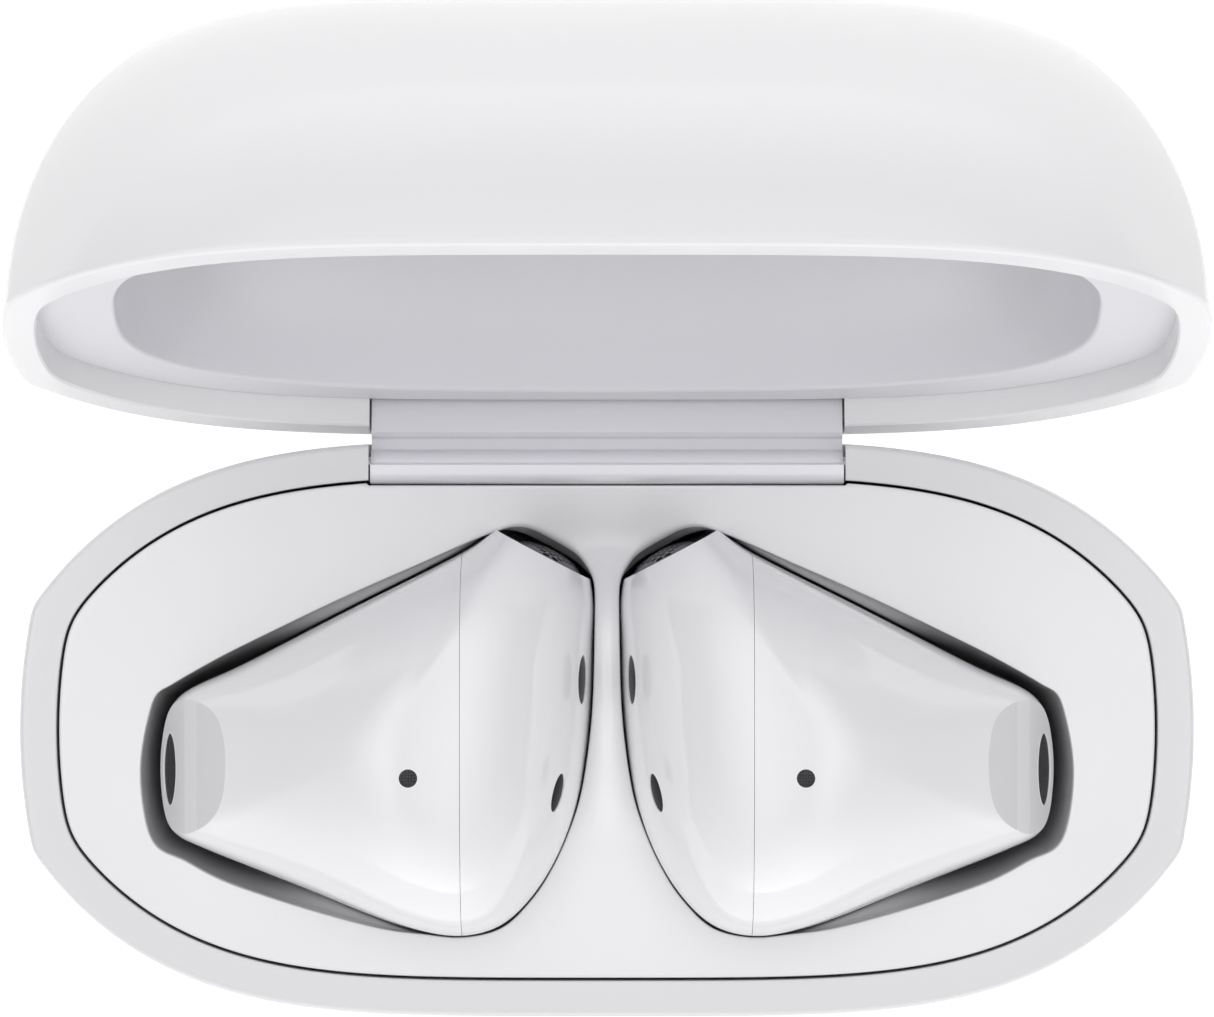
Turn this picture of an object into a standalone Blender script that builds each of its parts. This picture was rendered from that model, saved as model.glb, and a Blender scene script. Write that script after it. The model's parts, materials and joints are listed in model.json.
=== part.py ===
"""Wireless earbuds case with its two earbuds, standing on its base with the lid swung open.

The origin is at the centre of the flat base, +X runs along the width, -Y is the front and
+Y the hinge side, +Z is up.  Every size below is in millimetres; add_object() converts.
"""
import math

import bmesh
import bpy
from mathutils import Vector

MM = 0.001

# ---------------------------------------------------------------- driving dimensions
# Plan outline of the case: a flat-sided oval whose two ends are slack arcs.
CASE_HALF_WIDTH = 22.15
CASE_HALF_DEPTH = 10.86
SIDE_REACH = 1.0736          # the long side's curve would reach this share of the half width
SIDE_POWER_X = 4.28
SIDE_POWER_Y = 1.303
END_RADIUS = 22.54

# Lower case.
BODY_HEIGHT = 40.2
BODY_ROUND_HEIGHT = 13.0
BASE_HALF_WIDTH = 10.4
BASE_HALF_DEPTH = 5.6
BODY_WALL = 1.4
BODY_FLOOR = 1.6
RIM_FILLET = 0.25

# Lid.
LID_HEIGHT = 13.0
LID_CROWN_HALF_WIDTH = 10.4
LID_WALL = 1.2
LID_GAP = 0.3
LID_OPEN_DEG = 107.8
LINER_RECESS = 1.05
LINER_WALL = 0.7
LINER_DEPTH = 9.6
LINER_MOUTH_HALF_WIDTH = 18.06
LINER_MOUTH_HALF_DEPTH = 8.56
LINER_CROWN_HALF_WIDTH = 8.8
LINER_POWER = 2.9

# How the closed ends round over, shared by the lid, its liner and the lower case.
ROUND_POWER_WIDTH = 1.98
ROUND_POWER_DEPTH = 1.7
ROUND_ROOT = 2.2

# Hinge.
HINGE_HALF_WIDTH = 8.94
HINGE_INSET = 0.84           # axis in front of the rear face
HINGE_DROP = 1.02            # axis below the rim
BARREL_RADIUS = 0.5
PIN_RADIUS = 0.22
PIN_BORE_RADIUS = 0.32
CHANNEL_RADIUS = 0.6
LEAF_THICKNESS = 0.5
LEAF_REACH = 3.4             # lid leaf above the axis, lid closed
LEAF_STEP = 1.0              # from the axis to where the lid leaf steps back to its plate
NECK_BACK = 0.45             # rear face of the lid leaf's neck, behind the axis
PLATE_THICKNESS = 0.6        # the fixed leaf's hidden plate
PLATE_FOOT = 5.4             # its lower edge below the rim
HINGE_SCREW_X = 7.0
HINGE_SCREW_DROP = 4.2
SCREW_HEAD_RADIUS = 0.85
SCREW_SHANK_RADIUS = 0.35
SCREW_HOLE_RADIUS = 0.5

# Earbud, given for the left one from the case's centre plane.
BUD_SEAM_X = 5.45
BUD_WALL = 0.8
BUD_EQUATOR = -0.6           # widest level of the head, from the rim
BUD_HEAD_DEPTH = 9.9
BUD_CROWN_HEAD = 7.3
BUD_CROWN_STEM = 3.4
STEM_X = 14.35
STEM_Y = -1.5
STEM_RADIUS = 2.6
STEM_TIP_RADIUS = 2.3
STEM_BOTTOM = -33.4
NOZZLE_X = 2.15
NOZZLE_Y = 6.43
NOZZLE_DEG = 62.2            # heading of the nozzle, from +X towards +Y
NOZZLE_HALF_WIDTH = 1.35
NOZZLE_HALF_HEIGHT = 2.5
NOZZLE_Z = -1.2
VENT_X = 7.45
VENT_Y = -1.8
VENT_RADIUS = 0.3
DRIVER_X = 3.9
DRIVER_Y = 2.2
DRIVER_HALF_WIDTH = 2.1
DRIVER_HALF_HEIGHT = 3.1
DRIVER_FRONT = 1.1           # along the nozzle's heading, from the driver's middle
DRIVER_BACK = -0.9
CELL_RADIUS = 1.45
CELL_TOP = -9.0
CELL_BOTTOM = -27.0
CONTACT_RADIUS = 0.75
CONTACT_HOLE_RADIUS = 0.9

# Charging cradle.
TRAY_THICKNESS = 1.3
TRAY_WALL = 0.8
POCKET_FLOOR = -10.9
STEM_WELL_GAP = 0.35
WELL_PIN_RADIUS = 0.45
WELL_PIN_LENGTH = 2.0
WELL_PIN_HOLE_RADIUS = 0.65

# Rear button, port, light.
BUTTON_RADIUS = 2.2
BUTTON_Z = 26.4
BUTTON_TRAVEL = 0.4
BUTTON_SKIRT = 0.4           # how far the cap reaches in past the wall
BUTTON_SINK = 0.1            # cap and port below the rear face
SWITCH_SIZE = (3.2, 0.8, 3.2)
SWITCH_GAP = 0.25            # switch to the cap pressed right in
PORT_HALF_WIDTH = 4.5
PORT_HALF_HEIGHT = 1.6
PORT_Z = 6.4
PORT_LENGTH = 7.0
PORT_SKIN = 0.25
LIGHT_RADIUS = 0.6
LIGHT_Z = 24.0

# Parts inside the lower case.
BATTERY_SIZE = (15.6, 6.4, 15.0)
BATTERY_Z = 18.5
BOARD_SIZE = (17.6, 0.9, 16.4)
BOARD_Y = -4.6
BOARD_Z = 19.2
COIL_RADIUS = 8.2
COIL_HOLE_RADIUS = 4.2
COIL_Z = 19.6
COIL_THICKNESS = 0.8
FERRITE_THICKNESS = 0.5
COIL_GAP = 0.21              # coil to the switch behind it
FRAME_THICKNESS = 0.9
FRAME_HALF_WIDTH = 9.4
MAGNET_SIZE = (1.3, 4.6, 2.0)
MAGNET_END_INSET = 2.75      # middle of a case magnet from the end of the case
LID_MAGNET_SIZE = (1.0, 4.6, 1.4)
LID_MAGNET_GAP = 0.23        # lid magnet to the inside of the lid's end
SEAT_MAGNET_RADIUS = 2.2
SEAT_MAGNET_THICKNESS = 1.4
SEAT_MAGNET_X = 5.0
SEAT_MAGNET_Y = -1.0

# Clearances.
SEAM_GAP = 0.15
SEAT_GAP = 0.3
PLATE_GAP = 0.03             # hinge plate to the wall it is screwed to

OUTLINE_STEPS = 8            # points on a quarter of the long side
END_STEPS = 3                # points on a quarter's end arc
BUD_STEPS = 32               # points round an earbud
INNER_STEPS = 20             # points round its hollow
RIM = BODY_HEIGHT
HINGE_Y = CASE_HALF_DEPTH - HINGE_INSET
HINGE_Z = RIM - HINGE_DROP
HINGE_FRONT = HINGE_Y - HINGE_INSET + 0.04
BUTTON_FACE = CASE_HALF_DEPTH - BUTTON_SINK
SWITCH_BACK = BUTTON_FACE - BODY_WALL - BUTTON_SKIRT - BUTTON_TRAVEL - SWITCH_GAP
COIL_BACK = SWITCH_BACK - SWITCH_SIZE[1] - COIL_GAP
FERRITE_BACK = COIL_BACK - COIL_THICKNESS - SEAT_GAP
BATTERY_BACK = FERRITE_BACK - FERRITE_THICKNESS - SEAT_GAP
BATTERY_Y = BATTERY_BACK - BATTERY_SIZE[1] / 2


# ---------------------------------------------------------------- materials
def material(name, colour, roughness, metallic=0.0):
    made = bpy.data.materials.new(name)
    made.use_nodes = True
    shader = made.node_tree.nodes["Principled BSDF"]
    shader.inputs["Base Color"].default_value = (*colour, 1.0)
    shader.inputs["Roughness"].default_value = roughness
    shader.inputs["Metallic"].default_value = metallic
    made.diffuse_color = (*colour, 1.0)
    return made


WHITE_GLOSS = ((0.88, 0.88, 0.89), 0.12, 0.0)
WHITE_SATIN = ((0.84, 0.84, 0.85), 0.32, 0.0)
LINER_GREY = ((0.74, 0.74, 0.76), 0.35, 0.0)
HINGE_METAL = ((0.70, 0.70, 0.73), 0.30, 0.9)
DARK_PLASTIC = ((0.05, 0.05, 0.06), 0.35, 0.0)
DARK_MESH = ((0.08, 0.08, 0.09), 0.55, 0.6)
STEEL = ((0.55, 0.55, 0.56), 0.30, 1.0)
NICKEL = ((0.62, 0.61, 0.58), 0.22, 1.0)
COPPER = ((0.72, 0.38, 0.22), 0.35, 1.0)
GOLD = ((0.83, 0.62, 0.30), 0.25, 1.0)
FERRITE = ((0.10, 0.10, 0.11), 0.60, 0.0)
BOARD_GREEN = ((0.03, 0.18, 0.09), 0.45, 0.0)
FOIL = ((0.60, 0.60, 0.62), 0.35, 0.8)
AMBER_FILM = ((0.45, 0.22, 0.05), 0.40, 0.0)
CLEAR_PLASTIC = ((0.90, 0.92, 0.94), 0.10, 0.0)


# ---------------------------------------------------------------- mesh helpers
def add_object(name, bm, look, origin=(0.0, 0.0, 0.0), smooth_deg=35.0):
    """Turn a millimetre bmesh in world coordinates into an object whose origin is `origin`."""
    bmesh.ops.recalc_face_normals(bm, faces=bm.faces)
    bmesh.ops.translate(bm, verts=bm.verts, vec=-Vector(origin))
    bmesh.ops.scale(bm, verts=bm.verts, vec=(MM, MM, MM))
    mesh = bpy.data.meshes.new(name)
    bm.to_mesh(mesh)
    bm.free()
    mesh.shade_smooth()
    mesh.set_sharp_from_angle(angle=math.radians(smooth_deg))
    mesh.materials.append(material(name, *look))
    made = bpy.data.objects.new(name, mesh)
    made.location = Vector(origin) * MM
    bpy.context.scene.collection.objects.link(made)
    return made


def loft(loops):
    """A closed body through loops with equally many points, capped at both ends."""
    bm = bmesh.new()
    rings = [[bm.verts.new(point) for point in loop] for loop in loops]
    count = len(rings[0])
    for ring, following in zip(rings, rings[1:]):
        for i in range(count):
            j = (i + 1) % count
            bm.faces.new((ring[i], ring[j], following[j], following[i]))
    bm.faces.new(rings[0][::-1])
    bm.faces.new(rings[-1])
    return bm


def prism(points, low, high):
    """An upright prism on a plan outline."""
    return loft([[(x, y, z) for x, y in points] for z in (low, high)])


def box(low, high):
    (x0, y0, z0), (x1, y1, z1) = low, high
    return prism([(x0, y0), (x1, y0), (x1, y1), (x0, y1)], z0, z1)


def box_at(centre, size):
    low = [c - s / 2 for c, s in zip(centre, size)]
    high = [c + s / 2 for c, s in zip(centre, size)]
    return box(low, high)


def oval(half_a, half_b, count, power=2.0):
    """Points of a superellipse, counter-clockwise."""
    points = []
    for i in range(count):
        angle = 2 * math.pi * i / count
        c, s = math.cos(angle), math.sin(angle)
        points.append((half_a * math.copysign(abs(c) ** (2 / power), c),
                       half_b * math.copysign(abs(s) ** (2 / power), s)))
    return points


def slab(centre, along, across, up, points, low, high):
    """A prism on a plane outline, its points on across and up, its depth along a direction."""
    centre, along, across, up = (Vector(v) for v in (centre, along, across, up))
    return loft([[centre + across * a + up * b + along * d for a, b in points]
                 for d in (low, high)])


def rod(centre, direction, radius, low, high, count=12):
    """A round bar along X, Y or Z."""
    axes = {"X": ((1, 0, 0), (0, 1, 0), (0, 0, 1)),
            "Y": ((0, 1, 0), (0, 0, 1), (1, 0, 0)),
            "Z": ((0, 0, 1), (1, 0, 0), (0, 1, 0))}
    along, across, up = axes[direction]
    return slab(centre, along, across, up, oval(radius, radius, count), low, high)


def extrude_x(profile, half_width):
    """A profile of (y, z) points drawn out along X, evenly about the centre plane."""
    return loft([[(x, y, z) for y, z in profile] for x in (-half_width, half_width)])


def combine(body, operation, *tools):
    """Apply exact Booleans to a bmesh and give the result as a new bmesh."""
    scene = bpy.context.scene
    objects = []
    for bm in (body, *tools):
        bmesh.ops.recalc_face_normals(bm, faces=bm.faces)
        mesh = bpy.data.meshes.new("tool")
        bm.to_mesh(mesh)
        bm.free()
        made = bpy.data.objects.new("tool", mesh)
        scene.collection.objects.link(made)
        objects.append(made)
    target = objects[0]
    for tool in objects[1:]:
        modifier = target.modifiers.new("cut", "BOOLEAN")
        modifier.operation = operation
        modifier.solver = "EXACT"
        modifier.object = tool
    bpy.context.view_layer.update()
    evaluated = target.evaluated_get(bpy.context.evaluated_depsgraph_get())
    result = bmesh.new()
    result.from_mesh(evaluated.to_mesh())
    evaluated.to_mesh_clear()
    for made in objects:
        mesh = made.data
        bpy.data.objects.remove(made)
        bpy.data.meshes.remove(mesh)
    bmesh.ops.remove_doubles(result, verts=result.verts, dist=1e-4)
    bmesh.ops.dissolve_degenerate(result, edges=result.edges, dist=1e-4)
    return result


def mirrored(points, side):
    """Plan points of the left side, taken to the side asked for."""
    return [(x * side, y) for x, y in points]


# ---------------------------------------------------------------- case shape
def side_depth(x):
    """Half depth of the long side's curve at x."""
    share = min(abs(x) / (SIDE_REACH * CASE_HALF_WIDTH), 1.0)
    return CASE_HALF_DEPTH * max(1 - share ** SIDE_POWER_X, 0.0) ** (1 / SIDE_POWER_Y)


def end_reach(y):
    """Half width of the end arc at y."""
    return CASE_HALF_WIDTH - (END_RADIUS - math.sqrt(END_RADIUS ** 2 - y * y))


def corner_y():
    """Where the long side meets the end arc, by halving."""
    low, high = 0.0, CASE_HALF_DEPTH
    for _ in range(50):
        middle = (low + high) / 2
        if side_depth(end_reach(middle)) > middle:
            low = middle
        else:
            high = middle
    return low


def case_outline(inset=0.0):
    """The plan outline as a closed loop, moved inwards square to itself by `inset`."""
    y_corner = corner_y()
    x_corner = end_reach(y_corner)
    quarter = []
    for i in range(END_STEPS):
        y = y_corner * i / END_STEPS
        quarter.append((end_reach(y), y))
    for i in range(OUTLINE_STEPS + 1):
        x = x_corner * (1 - (i / OUTLINE_STEPS) ** 1.5)
        quarter.append((x, side_depth(x)))
    half = quarter + [(-x, y) for x, y in quarter[-2::-1]]
    loop = half + [(-x, -y) for x, y in half[1:-1]]
    count = len(loop)
    moved = []
    for i, (x, y) in enumerate(loop):
        before, after = loop[i - 1], loop[(i + 1) % count]
        edge_in = Vector((x - before[0], y - before[1])).normalized()
        edge_out = Vector((after[0] - x, after[1] - y)).normalized()
        normal = Vector((-edge_in.y - edge_out.y, edge_in.x + edge_out.x)).normalized()
        reach = inset / max(normal.dot(Vector((-edge_in.y, edge_in.x))), 0.5)
        moved.append((x + normal.x * reach, y + normal.y * reach))
    return moved


def outline_depth(points, x):
    """How deep a faceted plan outline reaches at x."""
    depths = []
    for (x0, y0), (x1, y1) in zip(points, points[1:]):
        if y0 > 0 and y1 > 0 and min(x0, x1) <= x <= max(x0, x1):
            depths.append(y0 + (y1 - y0) * (x - x0) / (x1 - x0))
    return min(depths)


def rounding(share, power):
    """How far a section has kept its size at a share of the rounded height."""
    return max(1 - share ** power, 0.0) ** (1 / ROUND_ROOT)


def section(points, half_width, half_depth, z):
    """The plan outline scaled to a half width and half depth."""
    reach_x = max(x for x, _ in points)
    reach_y = max(y for _, y in points)
    return [(x / reach_x * half_width, y / reach_y * half_depth, z) for x, y in points]


def dome(points, crown_half_width, crown_half_depth, start, height, shares):
    """Sections from `start` over a signed height, each smaller than the one before."""
    half_width = max(x for x, _ in points)
    half_depth = max(y for _, y in points)
    loops = []
    for share in shares:
        keep_x = rounding(share, ROUND_POWER_WIDTH)
        keep_y = rounding(share, ROUND_POWER_DEPTH)
        loops.append(section(points,
                             crown_half_width + (half_width - crown_half_width) * keep_x,
                             crown_half_depth + (half_depth - crown_half_depth) * keep_y,
                             start + height * share))
    return loops


def body_round_shares(floor):
    """Shares of the rounded bottom where it has a section, up to the height of a floor."""
    last = 1 - floor / BODY_ROUND_HEIGHT
    return [last * math.sin(math.radians(a)) for a in (0, 20, 38, 54, 67, 78, 90)]


# ---------------------------------------------------------------- lower case
def rim_loops(direction):
    """The rounded outer rim edge, from the wall up to the rim or back."""
    loops = []
    for angle in (0, 45, 90):
        turn = math.radians(angle)
        inset = RIM_FILLET * (1 - math.cos(turn))
        z = RIM - RIM_FILLET * (1 - math.sin(turn))
        loops.append([(x, y, z) for x, y in case_outline(inset)])
    return loops[::direction]


def hinge_notch(gap):
    low = (-HINGE_HALF_WIDTH - gap, CASE_HALF_DEPTH - BODY_WALL - 1.0,
           HINGE_Z - BARREL_RADIUS - 0.55)
    high = (HINGE_HALF_WIDTH + gap, CASE_HALF_DEPTH + 1.0, RIM + 1.0)
    return box(low, high)


def port_outline(grow):
    return oval(PORT_HALF_WIDTH + grow, PORT_HALF_HEIGHT + grow, 20, power=5.0)


def port_prism(grow, low, high):
    return slab((0, 0, PORT_Z), (0, 1, 0), (1, 0, 0), (0, 0, 1), port_outline(grow), low, high)


def body_shell():
    outer = dome(case_outline(), BASE_HALF_WIDTH, BASE_HALF_DEPTH, BODY_ROUND_HEIGHT,
                 -BODY_ROUND_HEIGHT, body_round_shares(0.0)[::-1])
    inner = dome(case_outline(BODY_WALL), BASE_HALF_WIDTH - BODY_WALL,
                 BASE_HALF_DEPTH - BODY_WALL, BODY_ROUND_HEIGHT,
                 BODY_FLOOR - BODY_ROUND_HEIGHT, body_round_shares(0.0))
    inner_rim = [(x, y, RIM) for x, y in case_outline(BODY_WALL)]
    shell = loft(outer + rim_loops(1) + [inner_rim] + inner)
    pin_reach = HINGE_HALF_WIDTH + 1.6
    cuts = [hinge_notch(SEAM_GAP),
            rod((0, HINGE_Y, HINGE_Z), "X", PIN_BORE_RADIUS, -pin_reach, pin_reach, 8),
            rod((0, 0, BUTTON_Z), "Y", BUTTON_RADIUS + SEAM_GAP, 4.0, 14.0, 20),
            port_prism(SEAT_GAP, 4.0, 14.0),
            rod((0, 0, LIGHT_Z), "Y", LIGHT_RADIUS + SEAM_GAP, -14.0, -4.0, 10)]
    cuts += [stem_well(side, TRAY_WALL + PLATE_GAP) for side in (-1, 1)]
    add_object("body_shell", combine(shell, "DIFFERENCE", *cuts), WHITE_GLOSS)


# ---------------------------------------------------------------- earbud shape
# Plan of the head from above: (x, y), x from the centre plane, counter-clockwise from the
# end of the stem side.  The nose runs past the nozzle plane, which trims it.
BUD_PLAN = ((16.90, -1.50), (16.55, -3.75), (15.40, -4.45), (13.50, -5.22), (11.10, -6.15),
            (8.70, -7.12), (7.00, -7.65), (5.45, -7.85), (3.95, -7.45), (2.80, -6.35),
            (2.05, -5.20), (1.50, -4.00), (1.05, -2.60), (0.75, -0.90), (0.57, 0.90),
            (0.50, 3.20), (0.52, 5.10), (1.15, 7.10), (2.60, 8.30), (4.10, 7.55),
            (5.50, 6.62), (9.70, 4.50), (13.60, 2.50), (14.90, 1.90), (15.95, 1.40),
            (16.60, 0.60))
# The pocket follows the head with a small gap, and opens wider along the stem side.
POCKET_PLAN = ((17.60, -1.54), (17.18, -4.20), (15.93, -4.98), (14.70, -5.65), (13.30, -6.18),
               (11.14, -6.86), (8.73, -7.50), (7.10, -7.85), (5.45, -8.02), (3.86, -7.62),
               (2.66, -6.50), (1.90, -5.30), (1.34, -4.06), (0.89, -2.64), (0.59, -0.92),
               (0.41, 0.88), (0.35, 3.20), (0.36, 5.40), (0.74, 6.25), (1.26, 6.68),
               (2.11, 7.17), (2.85, 7.55), (3.45, 7.68), (4.17, 7.58), (5.41, 6.92),
               (9.80, 4.86), (12.35, 3.74), (14.72, 2.54), (16.19, 1.76), (17.21, 1.03))


def smooth_loop(points, count):
    """A closed Catmull-Rom curve through the points, sampled evenly along its length."""
    fine = []
    total = len(points)
    for i in range(total):
        p0, p1, p2, p3 = (Vector(points[(i + k - 1) % total]) for k in range(4))
        for step in range(12):
            t = step / 12
            fine.append(0.5 * ((2 * p1) + (p2 - p0) * t + (2 * p0 - 5 * p1 + 4 * p2 - p3) * t * t
                               + (3 * p1 - p0 - 3 * p2 + p3) * t ** 3))
    lengths = [0.0]
    for i in range(len(fine)):
        lengths.append(lengths[-1] + (fine[(i + 1) % len(fine)] - fine[i]).length)
    loop = []
    at = 0
    for i in range(count):
        goal = lengths[-1] * i / count
        while lengths[at + 1] < goal:
            at += 1
        share = (goal - lengths[at]) / (lengths[at + 1] - lengths[at])
        loop.append(fine[at].lerp(fine[(at + 1) % len(fine)], share))
    return loop


def inset_loop(loop, inset):
    """A plan loop moved inwards square to itself (either turning direction)."""
    area = sum(a.x * b.y - b.x * a.y for a, b in zip(loop, loop[1:] + loop[:1]))
    turn = math.copysign(1.0, area)
    moved = []
    for i, point in enumerate(loop):
        chord = loop[(i + 1) % len(loop)] - loop[i - 1]
        normal = Vector((-chord.y, chord.x)).normalized() * turn
        moved.append(point + normal * inset)
    return moved


def crown_height(x, inset):
    """Height of the head above its widest level: low over the stem, high over the ear part."""
    share = min(max((STEM_X + 1.0 - x) / (STEM_X - BUD_SEAM_X - 1.0), 0.0), 1.0)
    ease = share * share * (3 - 2 * share)
    return BUD_CROWN_STEM + (BUD_CROWN_HEAD - BUD_CROWN_STEM) * ease - inset


def nozzle_trim(point, inset):
    """Bring what reaches past the nozzle plane back onto it."""
    heading = math.radians(NOZZLE_DEG)
    normal = Vector((-math.cos(heading), math.sin(heading), 0.0))
    past = (point - Vector((NOZZLE_X, NOZZLE_Y, 0.0))).dot(normal) + inset
    return point - normal * max(past, 0.0)


def bud_loops(inset, count, side):
    """Sections of the earbud from the crown down to the tip of the stem."""
    outline = inset_loop(smooth_loop(BUD_PLAN, count), inset)
    middle = Vector((8.2, -0.6))
    stem = Vector((STEM_X, STEM_Y))
    loops = []
    for share in (0.12, 0.35, 0.56, 0.73, 0.86, 0.95, 1.0):
        lift = max(1 - share ** 2.3, 0.0) ** (1 / 2.3)
        ring = [middle + (point - middle) * share for point in outline]
        loops.append([(p.x, p.y, BUD_EQUATOR + crown_height(p.x, inset) * lift) for p in ring])
    spokes = [(point - middle).normalized() for point in outline]
    for drop in (0.22, 0.45, 0.66, 0.83, 0.95, 1.0):
        keep = max(1 - drop ** 2.2, 0.0) ** (1 / 2.2)
        z = BUD_EQUATOR - (BUD_HEAD_DEPTH - inset) * drop
        ring = [(stem + spoke * (STEM_RADIUS - inset)).lerp(point, keep)
                for spoke, point in zip(spokes, outline)]
        loops.append([(p.x, p.y, z) for p in ring])
    tip = STEM_BOTTOM + inset
    for z, radius in ((tip + 12.0, STEM_RADIUS), (tip + 1.0, STEM_TIP_RADIUS),
                      (tip + 0.3, STEM_TIP_RADIUS - 0.4), (tip, STEM_TIP_RADIUS - 1.0)):
        ring = [stem + spoke * (radius - inset) for spoke in spokes]
        loops.append([(p.x, p.y, z) for p in ring])
    placed = []
    for loop in loops:
        trimmed = [nozzle_trim(Vector(point), inset) for point in loop]
        placed.append([(p.x * side, p.y, p.z + RIM) for p in trimmed])
    return placed


def nozzle_frame(side):
    """Centre, outward direction and level direction across the nozzle."""
    heading = math.radians(NOZZLE_DEG)
    centre = Vector((NOZZLE_X * side, NOZZLE_Y, RIM + NOZZLE_Z))
    outward = Vector((-math.cos(heading) * side, math.sin(heading), 0.0))
    across = Vector((math.sin(heading) * side, math.cos(heading), 0.0))
    return centre, outward, across


def nozzle_prism(side, grow, low, high, count=16):
    centre, outward, across = nozzle_frame(side)
    points = oval(NOZZLE_HALF_WIDTH + grow, NOZZLE_HALF_HEIGHT + grow, count)
    return slab(centre, outward, across, (0, 0, 1), points, low, high)


# Small windows in the head: name, centre (x, y, z from the rim), outward direction,
# half width and half height of the oval.
WINDOWS = (("upper_sensor_window", (0.95, 1.90, 1.2), (-0.95, -0.10, 0.30), 0.85, 0.80),
           ("lower_sensor_window", (1.85, -2.30, 1.0), (-0.88, -0.32, 0.35), 0.70, 0.70),
           ("mic_grille", (16.35, -1.50, 1.0), (0.92, 0.0, 0.40), 1.30, 0.50))


def window_prism(window, side, grow, low, high):
    _, centre, outward, half_width, half_height = window
    centre = Vector((centre[0] * side, centre[1], centre[2] + RIM))
    outward = Vector((outward[0] * side, outward[1], outward[2])).normalized()
    across = Vector((0, 0, 1)).cross(outward).normalized()
    up = outward.cross(across)
    points = oval(half_width + grow, half_height + grow, 12)
    return slab(centre, outward, across, up, points, low, high)


def build_earbud(label, side):
    """One earbud: two housing halves that meet at the seam, and what they hold."""
    half_gap = SEAM_GAP / 2
    far = 40.0
    low_z, high_z = RIM + STEM_BOTTOM - 5.0, RIM + 20.0
    halves = []
    for near_x, far_x in ((BUD_SEAM_X - half_gap, -far), (BUD_SEAM_X + half_gap, far)):
        x0, x1 = sorted((near_x * side, far_x * side))
        block = box((x0, -far, low_z), (x1, far, high_z))
        half = combine(loft(bud_loops(0.0, BUD_STEPS, side)), "INTERSECT", block)
        halves.append(combine(half, "DIFFERENCE", loft(bud_loops(BUD_WALL, INNER_STEPS, side))))
    speaker_half, stem_half = halves

    speaker_cuts = [nozzle_prism(side, 0.0, -2.0, 2.0)]
    stem_cuts = []
    vent = (VENT_X * side, VENT_Y, RIM)
    stem_cuts.append(rod(vent, "Z", VENT_RADIUS + 0.1, 3.0, 10.0, 10))
    for window in WINDOWS:
        cut = window_prism(window, side, 0.12, -1.6, 2.0)
        (stem_cuts if window[0] == "mic_grille" else speaker_cuts).append(cut)
    contact_low = RIM + STEM_BOTTOM
    stem = (STEM_X * side, STEM_Y, 0)
    stem_cuts.append(rod(stem, "Z", CONTACT_HOLE_RADIUS, contact_low - 1, contact_low + 2))
    add_object(f"{label}_earbud_speaker_shell",
               combine(speaker_half, "DIFFERENCE", *speaker_cuts), WHITE_GLOSS)
    add_object(f"{label}_earbud_stem_shell",
               combine(stem_half, "DIFFERENCE", *stem_cuts), WHITE_GLOSS)

    centre, outward, across = nozzle_frame(side)
    rings = []
    for share, rise in ((1.0, -0.6), (1.0, -0.1), (0.8, 0.12), (0.45, 0.25)):
        points = oval((NOZZLE_HALF_WIDTH - 0.12) * share, (NOZZLE_HALF_HEIGHT - 0.12) * share, 16)
        rings.append([centre + across * a + Vector((0, 0, b)) + outward * rise
                      for a, b in points])
    add_object(f"{label}_earbud_speaker_grille", loft(rings), DARK_MESH)
    for window in WINDOWS:
        add_object(f"{label}_earbud_{window[0]}", window_prism(window, side, 0.0, -0.5, -0.1),
                   DARK_PLASTIC)
    add_object(f"{label}_earbud_vent", rod(vent, "Z", VENT_RADIUS, 5.7, 6.3, 8), DARK_MESH)
    driver = slab((DRIVER_X * side, DRIVER_Y, RIM - 1.0), outward, across, (0, 0, 1),
                  oval(DRIVER_HALF_WIDTH, DRIVER_HALF_HEIGHT, 18), DRIVER_BACK, DRIVER_FRONT)
    add_object(f"{label}_earbud_driver", driver, STEEL)
    battery = rod(stem, "Z", CELL_RADIUS, RIM + CELL_BOTTOM, RIM + CELL_TOP, 14)
    add_object(f"{label}_earbud_cell", battery, FOIL)
    contact = rod(stem, "Z", CONTACT_RADIUS, contact_low + 0.05, contact_low + 0.7)
    add_object(f"{label}_earbud_charging_contact", contact, GOLD)


# ---------------------------------------------------------------- charging cradle
def stem_well(side, wall):
    """The round well under a pocket, grown by a wall; no wall gives its hollow."""
    bottom = RIM + STEM_BOTTOM - SEAT_GAP - wall
    top = RIM + POCKET_FLOOR + (-0.2 if wall else 0.5)
    return rod((STEM_X * side, STEM_Y, 0), "Z", STEM_RADIUS + STEM_WELL_GAP + wall,
               bottom, top, 20)


def charging_cradle():
    tray = prism(case_outline(BODY_WALL + SEAM_GAP), RIM - TRAY_THICKNESS, RIM)
    blocks = []
    holes = []
    well_bottom = RIM + STEM_BOTTOM - SEAT_GAP
    for side in (-1, 1):
        pocket = smooth_loop(POCKET_PLAN, 44)
        wall = inset_loop(pocket, -TRAY_WALL)
        wall = [Vector((max(p.x, 0.02), p.y)) for p in wall]
        blocks.append(prism(mirrored(wall, side), RIM + POCKET_FLOOR - TRAY_WALL, RIM - 0.4))
        blocks.append(stem_well(side, TRAY_WALL))
        holes.append(prism(mirrored(pocket, side), RIM + POCKET_FLOOR, RIM + 1.0))
        holes.append(stem_well(side, 0.0))
        holes.append(rod((STEM_X * side, STEM_Y, 0), "Z", WELL_PIN_HOLE_RADIUS,
                         well_bottom - WELL_PIN_LENGTH, well_bottom + 0.5, 8))
    holes += hinge_leaf_room()
    solid = combine(tray, "UNION", *blocks)
    add_object("charging_cradle", combine(solid, "DIFFERENCE", *holes), WHITE_SATIN)


def hinge_plate():
    """Front and rear faces of the fixed leaf's plate, which lies on the rear wall."""
    back = outline_depth(case_outline(BODY_WALL), HINGE_HALF_WIDTH) - PLATE_GAP
    return back - PLATE_THICKNESS, back


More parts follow.
